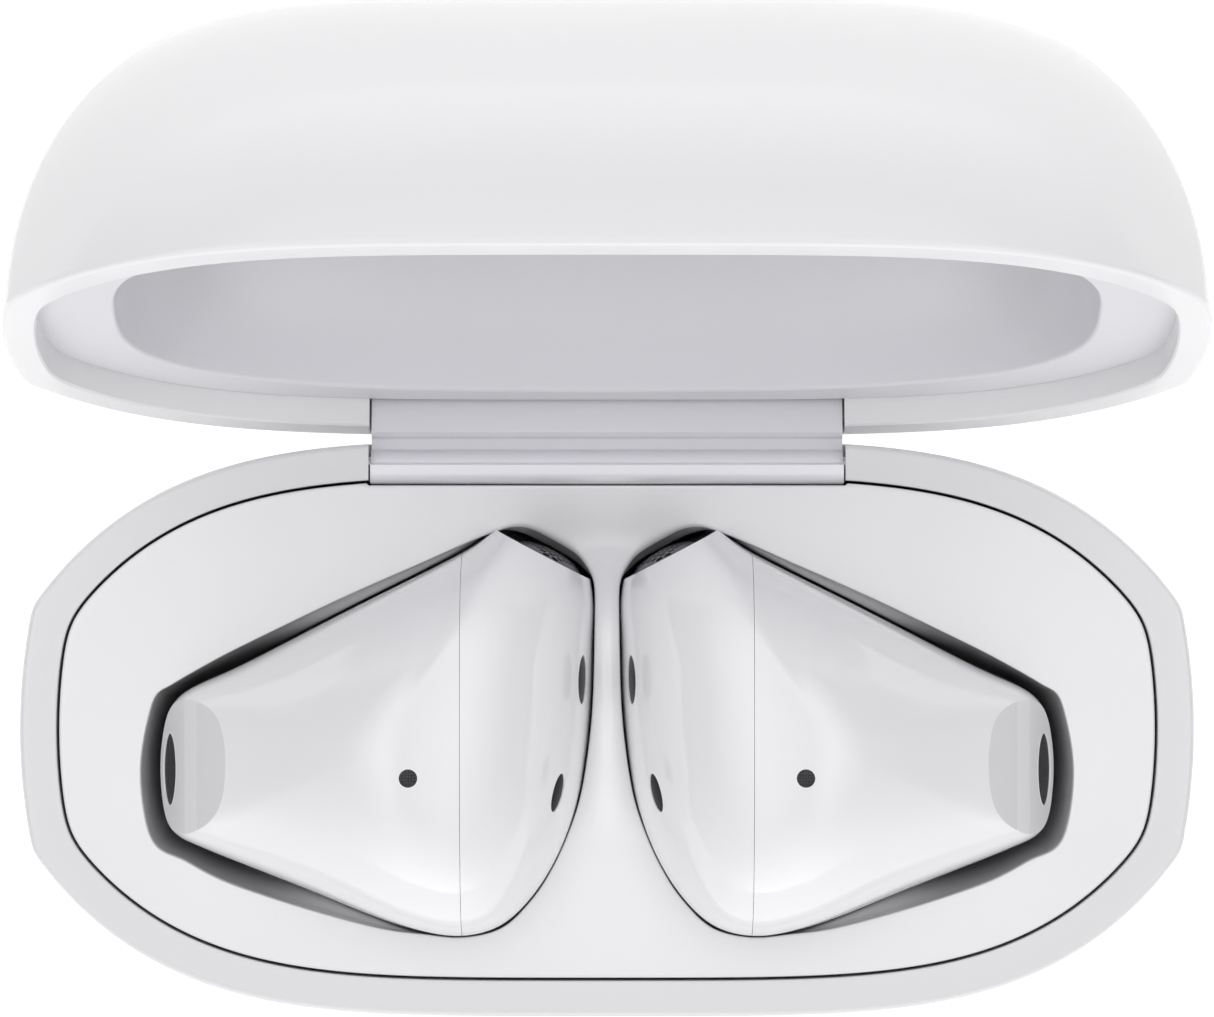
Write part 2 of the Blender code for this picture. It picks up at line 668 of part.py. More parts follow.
def hinge_leaf_room():
    """What the cradle leaves free for the fixed leaf: its top, and its plate lower down."""
    half_width = HINGE_HALF_WIDTH + SEAM_GAP
    bottom = RIM - 8.0
    behind = CASE_HALF_DEPTH + 1.0
    return [box((-half_width, HINGE_FRONT - SEAM_GAP, bottom), (half_width, behind, RIM + 1.0)),
            box((-half_width, hinge_plate()[0] - SEAM_GAP, bottom),
                (half_width, behind, RIM - TRAY_THICKNESS - 0.1))]


# ---------------------------------------------------------------- hinge
def turned(angle_deg, radius):
    """A point of the hinge's cross-section round its axis, as (y, z)."""
    angle = math.radians(angle_deg)
    return HINGE_Y + radius * math.cos(angle), HINGE_Z + radius * math.sin(angle)


def hinge_parts():
    front = HINGE_FRONT
    top = RIM - 0.12
    lip = HINGE_Y - 0.04
    foot = HINGE_Z - BARREL_RADIUS - 0.4
    plate_front, plate_back = hinge_plate()
    profile = [(lip, top), (front + 0.35, top), (front + 0.1, top - 0.12), (front, top - 0.4),
               (front, RIM - TRAY_THICKNESS - 0.5), (plate_front, RIM - TRAY_THICKNESS - 0.5),
               (plate_front, RIM - PLATE_FOOT), (plate_back, RIM - PLATE_FOOT),
               (plate_back, foot),
               (lip, foot)]
    profile += [turned(angle, CHANNEL_RADIUS) for angle in (266, 240, 210, 180, 150, 120, 94)]
    leaf = extrude_x(profile, HINGE_HALF_WIDTH)
    screw_z = RIM - HINGE_SCREW_DROP
    holes = [rod((x, 0, screw_z), "Y", SCREW_HOLE_RADIUS, plate_front - 1.0, plate_back + 1.0, 8)
             for x in (-HINGE_SCREW_X, HINGE_SCREW_X)]
    add_object("hinge_body_leaf", combine(leaf, "DIFFERENCE", *holes), HINGE_METAL)
    for label, x in (("left", -HINGE_SCREW_X), ("right", HINGE_SCREW_X)):
        head = rod((x, 0, screw_z), "Y", SCREW_HEAD_RADIUS, plate_front - 0.6,
                   plate_front - 0.15, 12)
        shank = rod((x, 0, screw_z), "Y", SCREW_SHANK_RADIUS, plate_front - 0.3,
                    plate_back - 0.05, 8)
        add_object(f"hinge_{label}_screw", combine(head, "UNION", shank), STEEL)
    pin_reach = HINGE_HALF_WIDTH + 1.3
    add_object("hinge_pin", rod((0, HINGE_Y, HINGE_Z), "X", PIN_RADIUS, -pin_reach, pin_reach, 10),
               STEEL, origin=(0, HINGE_Y, HINGE_Z))


def lid_leaf():
    half = LEAF_THICKNESS / 2
    barrel = [turned(angle, BARREL_RADIUS) for angle in (90, 120, 150, 180, 210, 240, 270,
                                                         300, 330, 360, 385)]
    neck_back = HINGE_Y + NECK_BACK
    step_z = HINGE_Z + LEAF_STEP
    neck_front = HINGE_Y + 0.03
    plate_front = HINGE_Y - 0.05 - half
    plate_back = plate_front + LEAF_THICKNESS
    profile = barrel + [(neck_back, step_z), (plate_back, step_z + 0.25),
                        (plate_back, HINGE_Z + LEAF_REACH), (plate_front, HINGE_Z + LEAF_REACH),
                        (plate_front, step_z), (neck_front, step_z)]
    leaf = extrude_x(profile, HINGE_HALF_WIDTH - 0.12)
    reach = HINGE_HALF_WIDTH + 1.0
    bore = rod((0, HINGE_Y, HINGE_Z), "X", PIN_BORE_RADIUS, -reach, reach, 12)
    return combine(leaf, "DIFFERENCE", bore)


# ---------------------------------------------------------------- lid, modelled closed
LID_RIM = RIM + LID_GAP
CROWN_SHARES = (0.0, 0.2, 0.4, 0.58, 0.73, 0.85, 0.93, 0.975, 0.995)


def lid_shell():
    fillet = []
    for angle in (90, 45):
        turn = math.radians(angle)
        inset = RIM_FILLET * (1 - math.cos(turn))
        z = LID_RIM + RIM_FILLET * (1 - math.sin(turn))
        fillet.append([(x, y, z) for x, y in case_outline(inset)])
    outer = dome(case_outline(), LID_CROWN_HALF_WIDTH, 0.0, LID_RIM, LID_HEIGHT, CROWN_SHARES)
    outer[0] = [(x, y, LID_RIM + RIM_FILLET) for x, y, _ in outer[0]]
    inner = dome(case_outline(LID_WALL), LID_CROWN_HALF_WIDTH - LID_WALL, 0.0, LID_RIM,
                 LID_HEIGHT - LID_WALL, CROWN_SHARES)
    shell = loft(inner[::-1] + fillet + outer)
    recess = box((-HINGE_HALF_WIDTH - SEAM_GAP, HINGE_Y - 2.0, LID_RIM - 1.0),
                 (HINGE_HALF_WIDTH + SEAM_GAP, HINGE_Y - 0.05 + LEAF_THICKNESS / 2 + SEAM_GAP,
                  HINGE_Z + LEAF_REACH + SEAM_GAP))
    return combine(shell, "DIFFERENCE", recess)


def lid_liner():
    face_z = LID_RIM + LINER_RECESS
    shrink = rounding((LINER_RECESS + LINER_WALL) / LID_HEIGHT, ROUND_POWER_DEPTH)
    flange = [(x * shrink, y * shrink) for x, y in case_outline(LID_WALL + SEAM_GAP)]
    mouth = []
    for x, y in flange:
        angle = math.atan2(y / LINER_MOUTH_HALF_DEPTH, x / LINER_MOUTH_HALF_WIDTH)
        c, s = math.cos(angle), math.sin(angle)
        scale = (abs(c) ** LINER_POWER + abs(s) ** LINER_POWER) ** (-1 / LINER_POWER)
        mouth.append((LINER_MOUTH_HALF_WIDTH * c * scale, LINER_MOUTH_HALF_DEPTH * s * scale))
    outside = [(x * (1 + LINER_WALL / LINER_MOUTH_HALF_WIDTH),
                y * (1 + LINER_WALL / LINER_MOUTH_HALF_DEPTH)) for x, y in mouth]
    shares = (0.0, 0.2, 0.4, 0.6, 0.77, 0.9, 0.97)
    cup_in = dome(mouth, LINER_CROWN_HALF_WIDTH, 0.0, face_z, LINER_DEPTH, shares)
    cup_out = dome(outside, LINER_CROWN_HALF_WIDTH + LINER_WALL, 0.0, face_z,
                   LINER_DEPTH + LINER_WALL, shares)
    cup_out[0] = [(x, y, face_z + LINER_WALL) for x, y, _ in cup_out[0]]
    loops = cup_in[::-1] + [[(x, y, face_z) for x, y in flange],
                            [(x, y, face_z + LINER_WALL) for x, y in flange]] + cup_out
    return loft(loops)


def build_lid():
    """The lid's pieces, swung open together about the hinge axis."""
    hinge = bpy.data.objects.new("lid_hinge_axis", None)
    hinge.location = Vector((0, HINGE_Y, HINGE_Z)) * MM
    bpy.context.scene.collection.objects.link(hinge)
    axis = (0, HINGE_Y, HINGE_Z)
    magnet_z = LID_RIM + LINER_RECESS + LINER_WALL + SEAT_GAP + MAGNET_SIZE[2] / 2
    pieces = [add_object("lid_shell", lid_shell(), WHITE_GLOSS, axis),
              add_object("lid_liner", lid_liner(), LINER_GREY, axis),
              add_object("hinge_lid_leaf", lid_leaf(), HINGE_METAL, axis)]
    magnet_top = magnet_z + LID_MAGNET_SIZE[2] / 2
    inner_crown = LID_CROWN_HALF_WIDTH - LID_WALL
    inner_reach = CASE_HALF_WIDTH - LID_WALL - inner_crown
    keep = rounding((magnet_top - LID_RIM) / (LID_HEIGHT - LID_WALL), ROUND_POWER_WIDTH)
    lid_magnet_x = inner_crown + inner_reach * keep - LID_MAGNET_GAP - LID_MAGNET_SIZE[0] / 2
    for label, side in (("left", -1), ("right", 1)):
        magnet = box_at((lid_magnet_x * side, 0, magnet_z), LID_MAGNET_SIZE)
        pieces.append(add_object(f"lid_{label}_magnet", magnet, NICKEL, axis))
    for piece in pieces:
        piece.parent = hinge
        piece.location = (0, 0, 0)
    hinge.rotation_euler = (-math.radians(LID_OPEN_DEG), 0, 0)


# ---------------------------------------------------------------- rear button, port and light
def case_fittings():
    cap = rod((0, 0, BUTTON_Z), "Y", BUTTON_RADIUS, BUTTON_FACE - BODY_WALL - BUTTON_SKIRT,
              BUTTON_FACE, 24)
    add_object("pairing_button", cap, WHITE_GLOSS, origin=(0, BUTTON_FACE, BUTTON_Z))
    switch = box_at((0, SWITCH_BACK - SWITCH_SIZE[1] / 2, BUTTON_Z), SWITCH_SIZE)
    add_object("button_switch", switch, STEEL)
    port_end = CASE_HALF_DEPTH - 0.9
    sleeve = combine(port_prism(0.0, port_end - PORT_LENGTH, port_end), "DIFFERENCE",
                     port_prism(-PORT_SKIN, port_end - PORT_LENGTH + 0.5, port_end + 1.0))
    add_object("charging_port", sleeve, STEEL)
    tongue = box((-3.3, port_end - PORT_LENGTH + 0.8, PORT_Z - 0.35),
                 (3.3, port_end - 0.7, PORT_Z + 0.35))
    add_object("charging_port_tongue", tongue, DARK_PLASTIC)
    light = rod((0, 0, LIGHT_Z), "Y", LIGHT_RADIUS, 0.05 - CASE_HALF_DEPTH,
                1.9 - CASE_HALF_DEPTH, 10)
    add_object("status_light_guide", light, CLEAR_PLASTIC)


# ---------------------------------------------------------------- parts inside the lower case
def case_internals():
    add_object("case_battery", box_at((0, BATTERY_Y, BATTERY_Z), BATTERY_SIZE), FOIL)
    frame_top = BATTERY_Z - BATTERY_SIZE[2] / 2 - SEAT_GAP
    frame_half_depth = CASE_HALF_DEPTH - BODY_WALL - 0.65
    frame = box((-FRAME_HALF_WIDTH, -frame_half_depth, frame_top - FRAME_THICKNESS),
                (FRAME_HALF_WIDTH, frame_half_depth, frame_top))
    add_object("mid_frame", frame, WHITE_SATIN)
    board_back = BOARD_Y + BOARD_SIZE[1] / 2
    add_object("main_board", box_at((0, BOARD_Y, BOARD_Z), BOARD_SIZE), BOARD_GREEN)
    chip = box_at((2.0, BOARD_Y - 1.15, BOARD_Z + 2.5), (5.0, 0.8, 5.0))
    add_object("charging_controller", chip, DARK_PLASTIC)
    battery_front = BATTERY_Y - BATTERY_SIZE[1] / 2
    pad = box((-6.5, board_back + SEAT_GAP, BATTERY_Z - 5.0),
              (6.5, battery_front - SEAT_GAP, BATTERY_Z + 5.0))
    add_object("battery_pad", pad, AMBER_FILM)
    ferrite = rod((0, 0, COIL_Z), "Y", COIL_RADIUS + 0.3, FERRITE_BACK - FERRITE_THICKNESS,
                  FERRITE_BACK, 24)
    add_object("ferrite_sheet", ferrite, FERRITE)
    coil_front = COIL_BACK - COIL_THICKNESS
    coil = combine(rod((0, 0, COIL_Z), "Y", COIL_RADIUS, coil_front, COIL_BACK, 28),
                   "DIFFERENCE",
                   rod((0, 0, COIL_Z), "Y", COIL_HOLE_RADIUS, coil_front - 1, COIL_BACK + 1, 24))
    add_object("charging_coil", coil, COPPER)
    magnet_x = CASE_HALF_WIDTH - MAGNET_END_INSET
    magnet_top = RIM - TRAY_THICKNESS - SEAT_GAP
    pin_top = RIM + STEM_BOTTOM - SEAT_GAP * 0.6
    for label, side in (("left", -1), ("right", 1)):
        magnet = box_at((magnet_x * side, 0, magnet_top - MAGNET_SIZE[2] / 2), MAGNET_SIZE)
        add_object(f"case_{label}_latch_magnet", magnet, NICKEL)
        seat_top = RIM + POCKET_FLOOR - TRAY_WALL - SEAT_GAP
        holder = rod((SEAT_MAGNET_X * side, SEAT_MAGNET_Y, 0), "Z", SEAT_MAGNET_RADIUS,
                     seat_top - SEAT_MAGNET_THICKNESS, seat_top, 16)
        add_object(f"{label}_earbud_seat_magnet", holder, NICKEL)
        pin = rod((STEM_X * side, STEM_Y, 0), "Z", WELL_PIN_RADIUS,
                  pin_top - WELL_PIN_LENGTH, pin_top, 8)
        add_object(f"{label}_well_contact_pin", pin, GOLD)


def build():
    for existing in list(bpy.data.objects):
        bpy.data.objects.remove(existing)
    body_shell()
    charging_cradle()
    hinge_parts()
    build_lid()
    case_fittings()
    case_internals()
    for label, side in (("left", -1), ("right", 1)):
        build_earbud(label, side)


build()
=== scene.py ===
"""Looks of the wireless earbuds case: fine meshes, materials, studio and camera.

Shapes are worked out in millimetres in the case's own frame: origin at the centre of the
flat base, -Y front, +Y hinge side.  Heights written "from the rim" have RIM added.
"""
import json
import math

import bmesh
import bpy
import numpy as np
from mathutils import Matrix, Vector
from mathutils.bvhtree import BVHTree
from mathutils.geometry import delaunay_2d_cdt


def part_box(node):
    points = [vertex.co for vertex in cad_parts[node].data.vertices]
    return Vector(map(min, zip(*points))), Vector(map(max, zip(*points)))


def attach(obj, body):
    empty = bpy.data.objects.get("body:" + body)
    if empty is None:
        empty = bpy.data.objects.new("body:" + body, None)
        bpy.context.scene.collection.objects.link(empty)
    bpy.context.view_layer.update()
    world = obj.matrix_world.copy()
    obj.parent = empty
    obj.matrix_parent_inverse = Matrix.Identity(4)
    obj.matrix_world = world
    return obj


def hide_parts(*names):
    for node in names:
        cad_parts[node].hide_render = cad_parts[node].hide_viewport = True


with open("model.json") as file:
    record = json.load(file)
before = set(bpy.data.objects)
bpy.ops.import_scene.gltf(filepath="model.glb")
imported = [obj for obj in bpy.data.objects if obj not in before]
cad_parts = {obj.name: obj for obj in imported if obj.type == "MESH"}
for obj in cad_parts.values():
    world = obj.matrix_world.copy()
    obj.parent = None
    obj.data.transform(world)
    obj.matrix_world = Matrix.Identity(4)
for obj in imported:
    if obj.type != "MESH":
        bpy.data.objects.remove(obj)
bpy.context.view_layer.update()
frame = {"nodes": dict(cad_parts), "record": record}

MM = 0.001
record = frame["record"]
joints = {joint["name"]: joint for joint in record["behaviour"]["joints"]}
LID_JOINT = joints["lid_hinge"]
HINGE_Y = LID_JOINT["pos_m"][1] / MM
HINGE_Z = LID_JOINT["pos_m"][2] / MM
LID_OPEN = math.radians(LID_JOINT["range_deg"][1])


def node_box(name):
    """A CAD node's lowest and highest corners, in millimetres."""
    low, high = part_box(name)
    return np.array(low) / MM, np.array(high) / MM


def middle_height(name):
    """Height of a CAD node's middle, in millimetres."""
    low, high = node_box(name)
    return (low[2] + high[2]) / 2


# ---------------------------------------------------------------- sizes
shell_low, shell_high = node_box("body_shell")
CASE_HALF_WIDTH = shell_high[0]
CASE_HALF_DEPTH = shell_high[1]
RIM = shell_high[2]
SIDE_REACH = 1.0736
SIDE_POWER_X = 4.28
SIDE_POWER_Y = 1.303
END_RADIUS = 22.54
BODY_ROUND_HEIGHT = 13.0
BASE_HALF_WIDTH = 10.4
BASE_HALF_DEPTH = 5.6
BODY_WALL = 1.4
BODY_FLOOR = 1.6
RIM_FILLET = 0.22
LID_HEIGHT = 13.0
LID_CROWN_HALF_WIDTH = 10.4
LID_WALL = 1.2
LID_GAP = 0.3
LINER_RECESS = 1.05
LINER_WALL = 0.7
LINER_DEPTH = 9.6
LINER_MOUTH = (18.06, 8.56)
LINER_CROWN_HALF_WIDTH = 8.8
LINER_POWER = 2.9
ROUND_POWER_WIDTH = 1.98
ROUND_POWER_DEPTH = 1.7
ROUND_ROOT = 2.2
HINGE_HALF_WIDTH = 8.94
BARREL_RADIUS = 0.5
CHANNEL_RADIUS = 0.6
LEAF_THICKNESS = 0.5
LEAF_REACH = 3.4
BUD_SEAM_X = 5.45
BUD_EQUATOR = -0.6
BUD_HEAD_DEPTH = 9.9
BUD_CROWN_HEAD = 7.3
BUD_CROWN_STEM = 4.2
STEM = np.array((14.35, -1.5))
STEM_RADIUS = 2.6
STEM_TIP_RADIUS = 2.3
STEM_BOTTOM = -33.4
NOZZLE = np.array((2.15, 6.43))
NOZZLE_DEG = 62.2
NOZZLE_HALF_WIDTH = 1.38
NOZZLE_HALF_HEIGHT = 2.5
NOZZLE_Z = -1.2
TRAY_THICKNESS = 1.3
POCKET_FLOOR = -10.9
STEM_WELL_GAP = 0.35
BUTTON_RADIUS = 2.2
LIGHT_BORE = 0.63
PORT_GAP = 0.12
SEAM = 0.055                 # half of the visible seam between case and cradle
OUTLINE_COUNT = 480
BUD_COUNT = 320


# ---------------------------------------------------------------- plane curves
def smooth_ring(points, spacing):
    """Soften a closed loop along its length with a bell of about `spacing` points."""
    reach = int(math.ceil(spacing * 3))
    if reach == 0:
        return points
    offsets = np.arange(-reach, reach + 1)
    weights = np.exp(-0.5 * (offsets / spacing) ** 2)
    weights /= weights.sum()
    return sum(w * np.roll(points, o, axis=0) for w, o in zip(weights, offsets))


def resample(points, count):
    """Points spaced evenly along a closed loop."""
    closed = np.vstack([points, points[:1]])
    steps = np.linalg.norm(np.diff(closed, axis=0), axis=1)
    length = np.concatenate([[0.0], np.cumsum(steps)])
    goals = np.linspace(0.0, length[-1], count, endpoint=False)
    return np.stack([np.interp(goals, length, closed[:, k]) for k in range(2)], axis=1)


def loop_normals(points):
    """Inward normals of a closed loop."""
    chord = np.roll(points, -1, axis=0) - np.roll(points, 1, axis=0)
    normal = np.stack([-chord[:, 1], chord[:, 0]], axis=1)
    normal /= np.linalg.norm(normal, axis=1)[:, None]
    x, y = points.T
    area = np.sum(x * np.roll(y, -1) - np.roll(x, -1) * y)
    return normal * math.copysign(1.0, area)


def inset_loop(points, inset):
    """A closed loop moved inwards."""
    return points + loop_normals(points) * inset


def catmull_loop(points, count):
    """A closed smooth curve through the points."""
    points = np.array(points, dtype=float)
    fine = []
    total = len(points)
    t = np.linspace(0.0, 1.0, 24, endpoint=False)[:, None]
    for i in range(total):
        p0, p1, p2, p3 = (points[(i + k - 1) % total] for k in range(4))
        fine.append(0.5 * (2 * p1 + (p2 - p0) * t + (2 * p0 - 5 * p1 + 4 * p2 - p3) * t ** 2
                           + (3 * p1 - p0 - 3 * p2 + p3) * t ** 3))
    return resample(np.vstack(fine), count)


def oval(half_a, half_b, count, power=2.0):
    """An ellipse, or with a higher power a rounded rectangle."""
    angle = np.linspace(0.0, 2 * math.pi, count, endpoint=False)
    c, s = np.cos(angle), np.sin(angle)
    return np.stack([half_a * np.sign(c) * np.abs(c) ** (2 / power),
                     half_b * np.sign(s) * np.abs(s) ** (2 / power)], axis=1)


def side_depth(x):
    """Half depth of the case's long sides at a place along its width."""
    share = np.clip(np.abs(x) / (SIDE_REACH * CASE_HALF_WIDTH), 0.0, 1.0)
    return CASE_HALF_DEPTH * (1 - share ** SIDE_POWER_X) ** (1 / SIDE_POWER_Y)


def end_reach(y):
    """Half width of the case's round ends at a place along its depth."""
    return CASE_HALF_WIDTH - (END_RADIUS - np.sqrt(END_RADIUS ** 2 - y * y))


def base_outline():
    """The case's plan: two long sides and two round ends, joined where they meet."""
    low, high = 0.0, CASE_HALF_DEPTH
    for _ in range(50):
        middle = (low + high) / 2
        if side_depth(end_reach(middle)) > middle:
            low = middle
        else:
            high = middle
    y_end = np.linspace(0.0, low, 60)
    x_side = end_reach(low) * (1 - np.linspace(0.0, 1.0, 200)[1:] ** 1.3)
    quarter = np.vstack([np.stack([end_reach(y_end), y_end], axis=1),
                         np.stack([x_side, side_depth(x_side)], axis=1)])
    half = np.vstack([quarter, quarter[-2::-1] * (-1, 1)])
    return np.vstack([half, half[-2:0:-1] * (1, -1)])


OUTLINE = smooth_ring(resample(base_outline(), OUTLINE_COUNT), 0.9)


def case_outline(inset=0.0):
    """The case's outer outline, moved inwards."""
    return inset_loop(OUTLINE, inset)


def opening_outline(inset):
    """The outline of the case's mouth: its corners are rounder than the outer ones."""
    return smooth_ring(case_outline(inset), 5.0)


def level(points, z):
    """Plan points at one height."""
    return np.column_stack([points, np.full(len(points), float(z))])


def rounding(share, power):
    """What is left of a section's size at a share of a rounded height."""
    return max(1 - share ** power, 0.0) ** (1 / ROUND_ROOT)


def dome(points, crown, start, height, shares):
    """Sections that shrink towards a crown of given half width and half depth."""
    half = np.abs(points).max(axis=0)
    loops = []
    for share in shares:
        keep = np.array([rounding(share, ROUND_POWER_WIDTH), rounding(share, ROUND_POWER_DEPTH)])
        scale = (np.array(crown) + (half - np.array(crown)) * keep) / half
        loops.append(level(points * scale, start + height * share))
    return loops


def round_shares(count, close=1.0):
    """Shares of a rounded height, closer together where it turns over."""
    return np.sin(np.linspace(0.0, math.pi / 2 * close, count))


# ---------------------------------------------------------------- meshes
def lofted(loops, cap_start=True, cap_end=True):
    """Vertices and faces of a skin through closed loops."""
    count = len(loops[0])
    vertices = np.vstack(loops)
    faces = []
    for r in range(len(loops) - 1):
        a = r * count
        b = a + count
        for i in range(count):
            j = (i + 1) % count
            faces.append((a + i, a + j, b + j, b + i))
    if cap_start:
        faces.append(tuple(range(count - 1, -1, -1)))
    if cap_end:
        last = (len(loops) - 1) * count
        faces.append(tuple(range(last, last + count)))
    return vertices, faces


def as_bmesh(vertices, faces):
    """A bmesh from vertices and faces."""
    bm = bmesh.new()
    made = [bm.verts.new(v) for v in vertices]
    for face in faces:
        bm.faces.new([made[i] for i in face])
    return bm


def loft_bm(loops, cap_start=True, cap_end=True):
    """A skin through closed loops as a bmesh with its faces pointing out."""
    bm = as_bmesh(*lofted(loops, cap_start, cap_end))
    bmesh.ops.recalc_face_normals(bm, faces=bm.faces)
    return bm


def box_bm(low, high):
    """A block between two corners."""
    corners = np.array([(low[0], low[1]), (high[0], low[1]), (high[0], high[1]),
                        (low[0], high[1])])
    return loft_bm([level(corners, low[2]), level(corners, high[2])])


def slab_bm(centre, along, across, up, points, low, high):
    """A prism whose outline lies on across and up and whose depth runs along a direction."""
    centre, along, across, up = (np.array(v, dtype=float) for v in (centre, along, across, up))
    flat = centre + points[:, :1] * across + points[:, 1:] * up
    return loft_bm([flat + along * low, flat + along * high])


def drop_loose(bm):
    """Remove the vertices that no face uses."""
    for vert in [v for v in bm.verts if not v.link_faces]:
        bm.verts.remove(vert)


def mirrored(bm, side):
    """A copy of a right-hand piece for either side."""
    made = bm.copy()
    if side < 0:
        bmesh.ops.transform(made, matrix=Matrix.Diagonal((-1.0, 1.0, 1.0, 1.0)),
                            verts=made.verts)
        bmesh.ops.reverse_faces(made, faces=made.faces)
    return made


def combine(body, operation, *tools):
    """Exact Booleans on bmeshes, giving a new bmesh."""
    objects = []
    for bm in (body, *tools):
        mesh = bpy.data.meshes.new("tool")
        bm.to_mesh(mesh)
        bm.free()
        made = bpy.data.objects.new("tool", mesh)
        bpy.context.scene.collection.objects.link(made)
        objects.append(made)
    for tool in objects[1:]:
        modifier = objects[0].modifiers.new("cut", "BOOLEAN")
        modifier.operation = operation
        modifier.solver = "EXACT"
        modifier.object = tool
    bpy.context.view_layer.update()
    evaluated = objects[0].evaluated_get(bpy.context.evaluated_depsgraph_get())
    result = bmesh.new()
    result.from_mesh(evaluated.to_mesh())
    evaluated.to_mesh_clear()
    for made in objects:
        mesh = made.data
        bpy.data.objects.remove(made)
        bpy.data.meshes.remove(mesh)
    return result


def swing_open(bm):
    """Turn a piece modelled with the lid shut to the open rest position."""
    centre = Vector((0, HINGE_Y, HINGE_Z))
    turn = (Matrix.Translation(centre) @ Matrix.Rotation(-LID_OPEN, 4, "X")
            @ Matrix.Translation(-centre))
    bmesh.ops.transform(bm, matrix=turn, verts=bm.verts)
    return bm


def piece(name, bm, look, body, nodes=(), smooth_deg=32.0):
    """A visible piece: converted to metres, shaded, given its look and its body."""
    bmesh.ops.scale(bm, verts=bm.verts, vec=(MM, MM, MM))
    mesh = bpy.data.meshes.new(name)
    bm.to_mesh(mesh)
    bm.free()
    mesh.shade_smooth()
    mesh.set_sharp_from_angle(angle=math.radians(smooth_deg))
    mesh.materials.append(look)
    made = bpy.data.objects.new(name, mesh)
    bpy.context.scene.collection.objects.link(made)
    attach(made, body)
    if nodes:
        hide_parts(*nodes)
    return made


# ---------------------------------------------------------------- materials
class Look:
    """A material in the making: its shader, and nodes driven by the object's coordinates."""

    def __init__(self, name):
        self.material = bpy.data.materials.new(name)
        self.material.use_nodes = True
        self.nodes = self.material.node_tree.nodes
        self.links = self.material.node_tree.links
        self.shader = self.nodes["Principled BSDF"]
        self.place = self.nodes.new("ShaderNodeTexCoord").outputs["Object"]

    def set(self, name, value):
        """Set one of the shader's own values."""
        self.shader.inputs[name].default_value = value

    def node(self, kind, socket, drive, values):
        """A node with given input values and one driven socket."""
        made = self.nodes.new(kind)
        if kind == "ShaderNodeMix":
            made.data_type = "RGBA"
        for name, value in values.items():
            made.inputs[name].default_value = value
        self.links.new(drive, made.inputs[socket])
        return made

    def noise(self, place, scale, detail):
        """Drifting values between nought and one."""
        values = {"Scale": scale, "Detail": detail}
        return self.node("ShaderNodeTexNoise", "Vector", place, values).outputs["Fac"]

    def tones(self, drive, low, high):
        """Colour between two tones."""
        values = {"A": (*low, 1.0), "B": (*high, 1.0)}
        mix = self.node("ShaderNodeMix", "Factor", drive, values)
        self.links.new(mix.outputs["Result"], self.shader.inputs["Base Color"])

    def roughness(self, drive, middle, wobble):
        """Roughness that drifts about its middle."""
        values = {"To Min": max(middle - wobble, 0.0), "To Max": middle + wobble}
        spread = self.node("ShaderNodeMapRange", "Value", drive, values)
        self.links.new(spread.outputs["Result"], self.shader.inputs["Roughness"])

    def bump(self, drive, strength, distance):
        """Fine relief; the distance is in metres."""
        values = {"Strength": strength, "Distance": distance}
        relief = self.node("ShaderNodeBump", "Height", drive, values)
        self.links.new(relief.outputs["Normal"], self.shader.inputs["Normal"])


def plastic(name, colour, roughness, grain=0.0, grain_size=900.0, translucency=0.0, coat=0.0,
            gloss=0.5):
    """Moulded plastic: near-even colour, roughness that drifts a little, fine surface grain."""
    look = Look(name)
    drift = look.noise(look.place, 120.0, 4.0)
    look.tones(drift, [c * 0.985 for c in colour], [min(c * 1.01, 1.0) for c in colour])
    look.roughness(drift, roughness, 0.02)
    if grain > 0.0:
        look.bump(look.noise(look.place, grain_size, 3.0), grain, 0.00002)
    if translucency > 0.0:
        look.set("Subsurface Weight", translucency)
        look.set("Subsurface Radius", (0.0012, 0.0011, 0.0010))
        look.set("Subsurface Scale", 1.0)
    if coat > 0.0:
        look.set("Coat Weight", coat)
        look.set("Coat Roughness", 0.03)
    look.set("IOR", 1.5)
    look.set("Specular IOR Level", gloss)
    return look.material


def metal(name, colour, roughness, brushed=0.0, metallic=1.0):
    """Metal with fine lines along X and a drifting roughness."""
    look = Look(name)
    look.set("Base Color", (*colour, 1.0))
    look.set("Metallic", metallic)
    stretch = look.node("ShaderNodeMapping", "Vector", look.place, {"Scale": (0.03, 1.0, 1.0)})
    lines = look.noise(stretch.outputs["Vector"], 9000.0, 3.0)
    look.roughness(lines, roughness, 0.05)
    if brushed > 0.0:
        look.bump(lines, brushed, 0.00001)
    return look.material


def speckled_mesh(name, dark, light, pitch):
    """Woven mesh drawn as rows of tiny dark openings."""
    look = Look(name)
    cells = look.node("ShaderNodeTexVoronoi", "Vector", look.place,
                      {"Scale": pitch, "Randomness": 0.15})
    openness = look.node("ShaderNodeMapRange", "Value", cells.outputs["Distance"],
                         {"From Min": 0.22, "From Max": 0.42}).outputs["Result"]
    look.tones(openness, dark, light)
    look.bump(openness, 0.5, 0.00003)
    look.set("Roughness", 0.4)
    look.set("Metallic", 0.3)
    return look.material


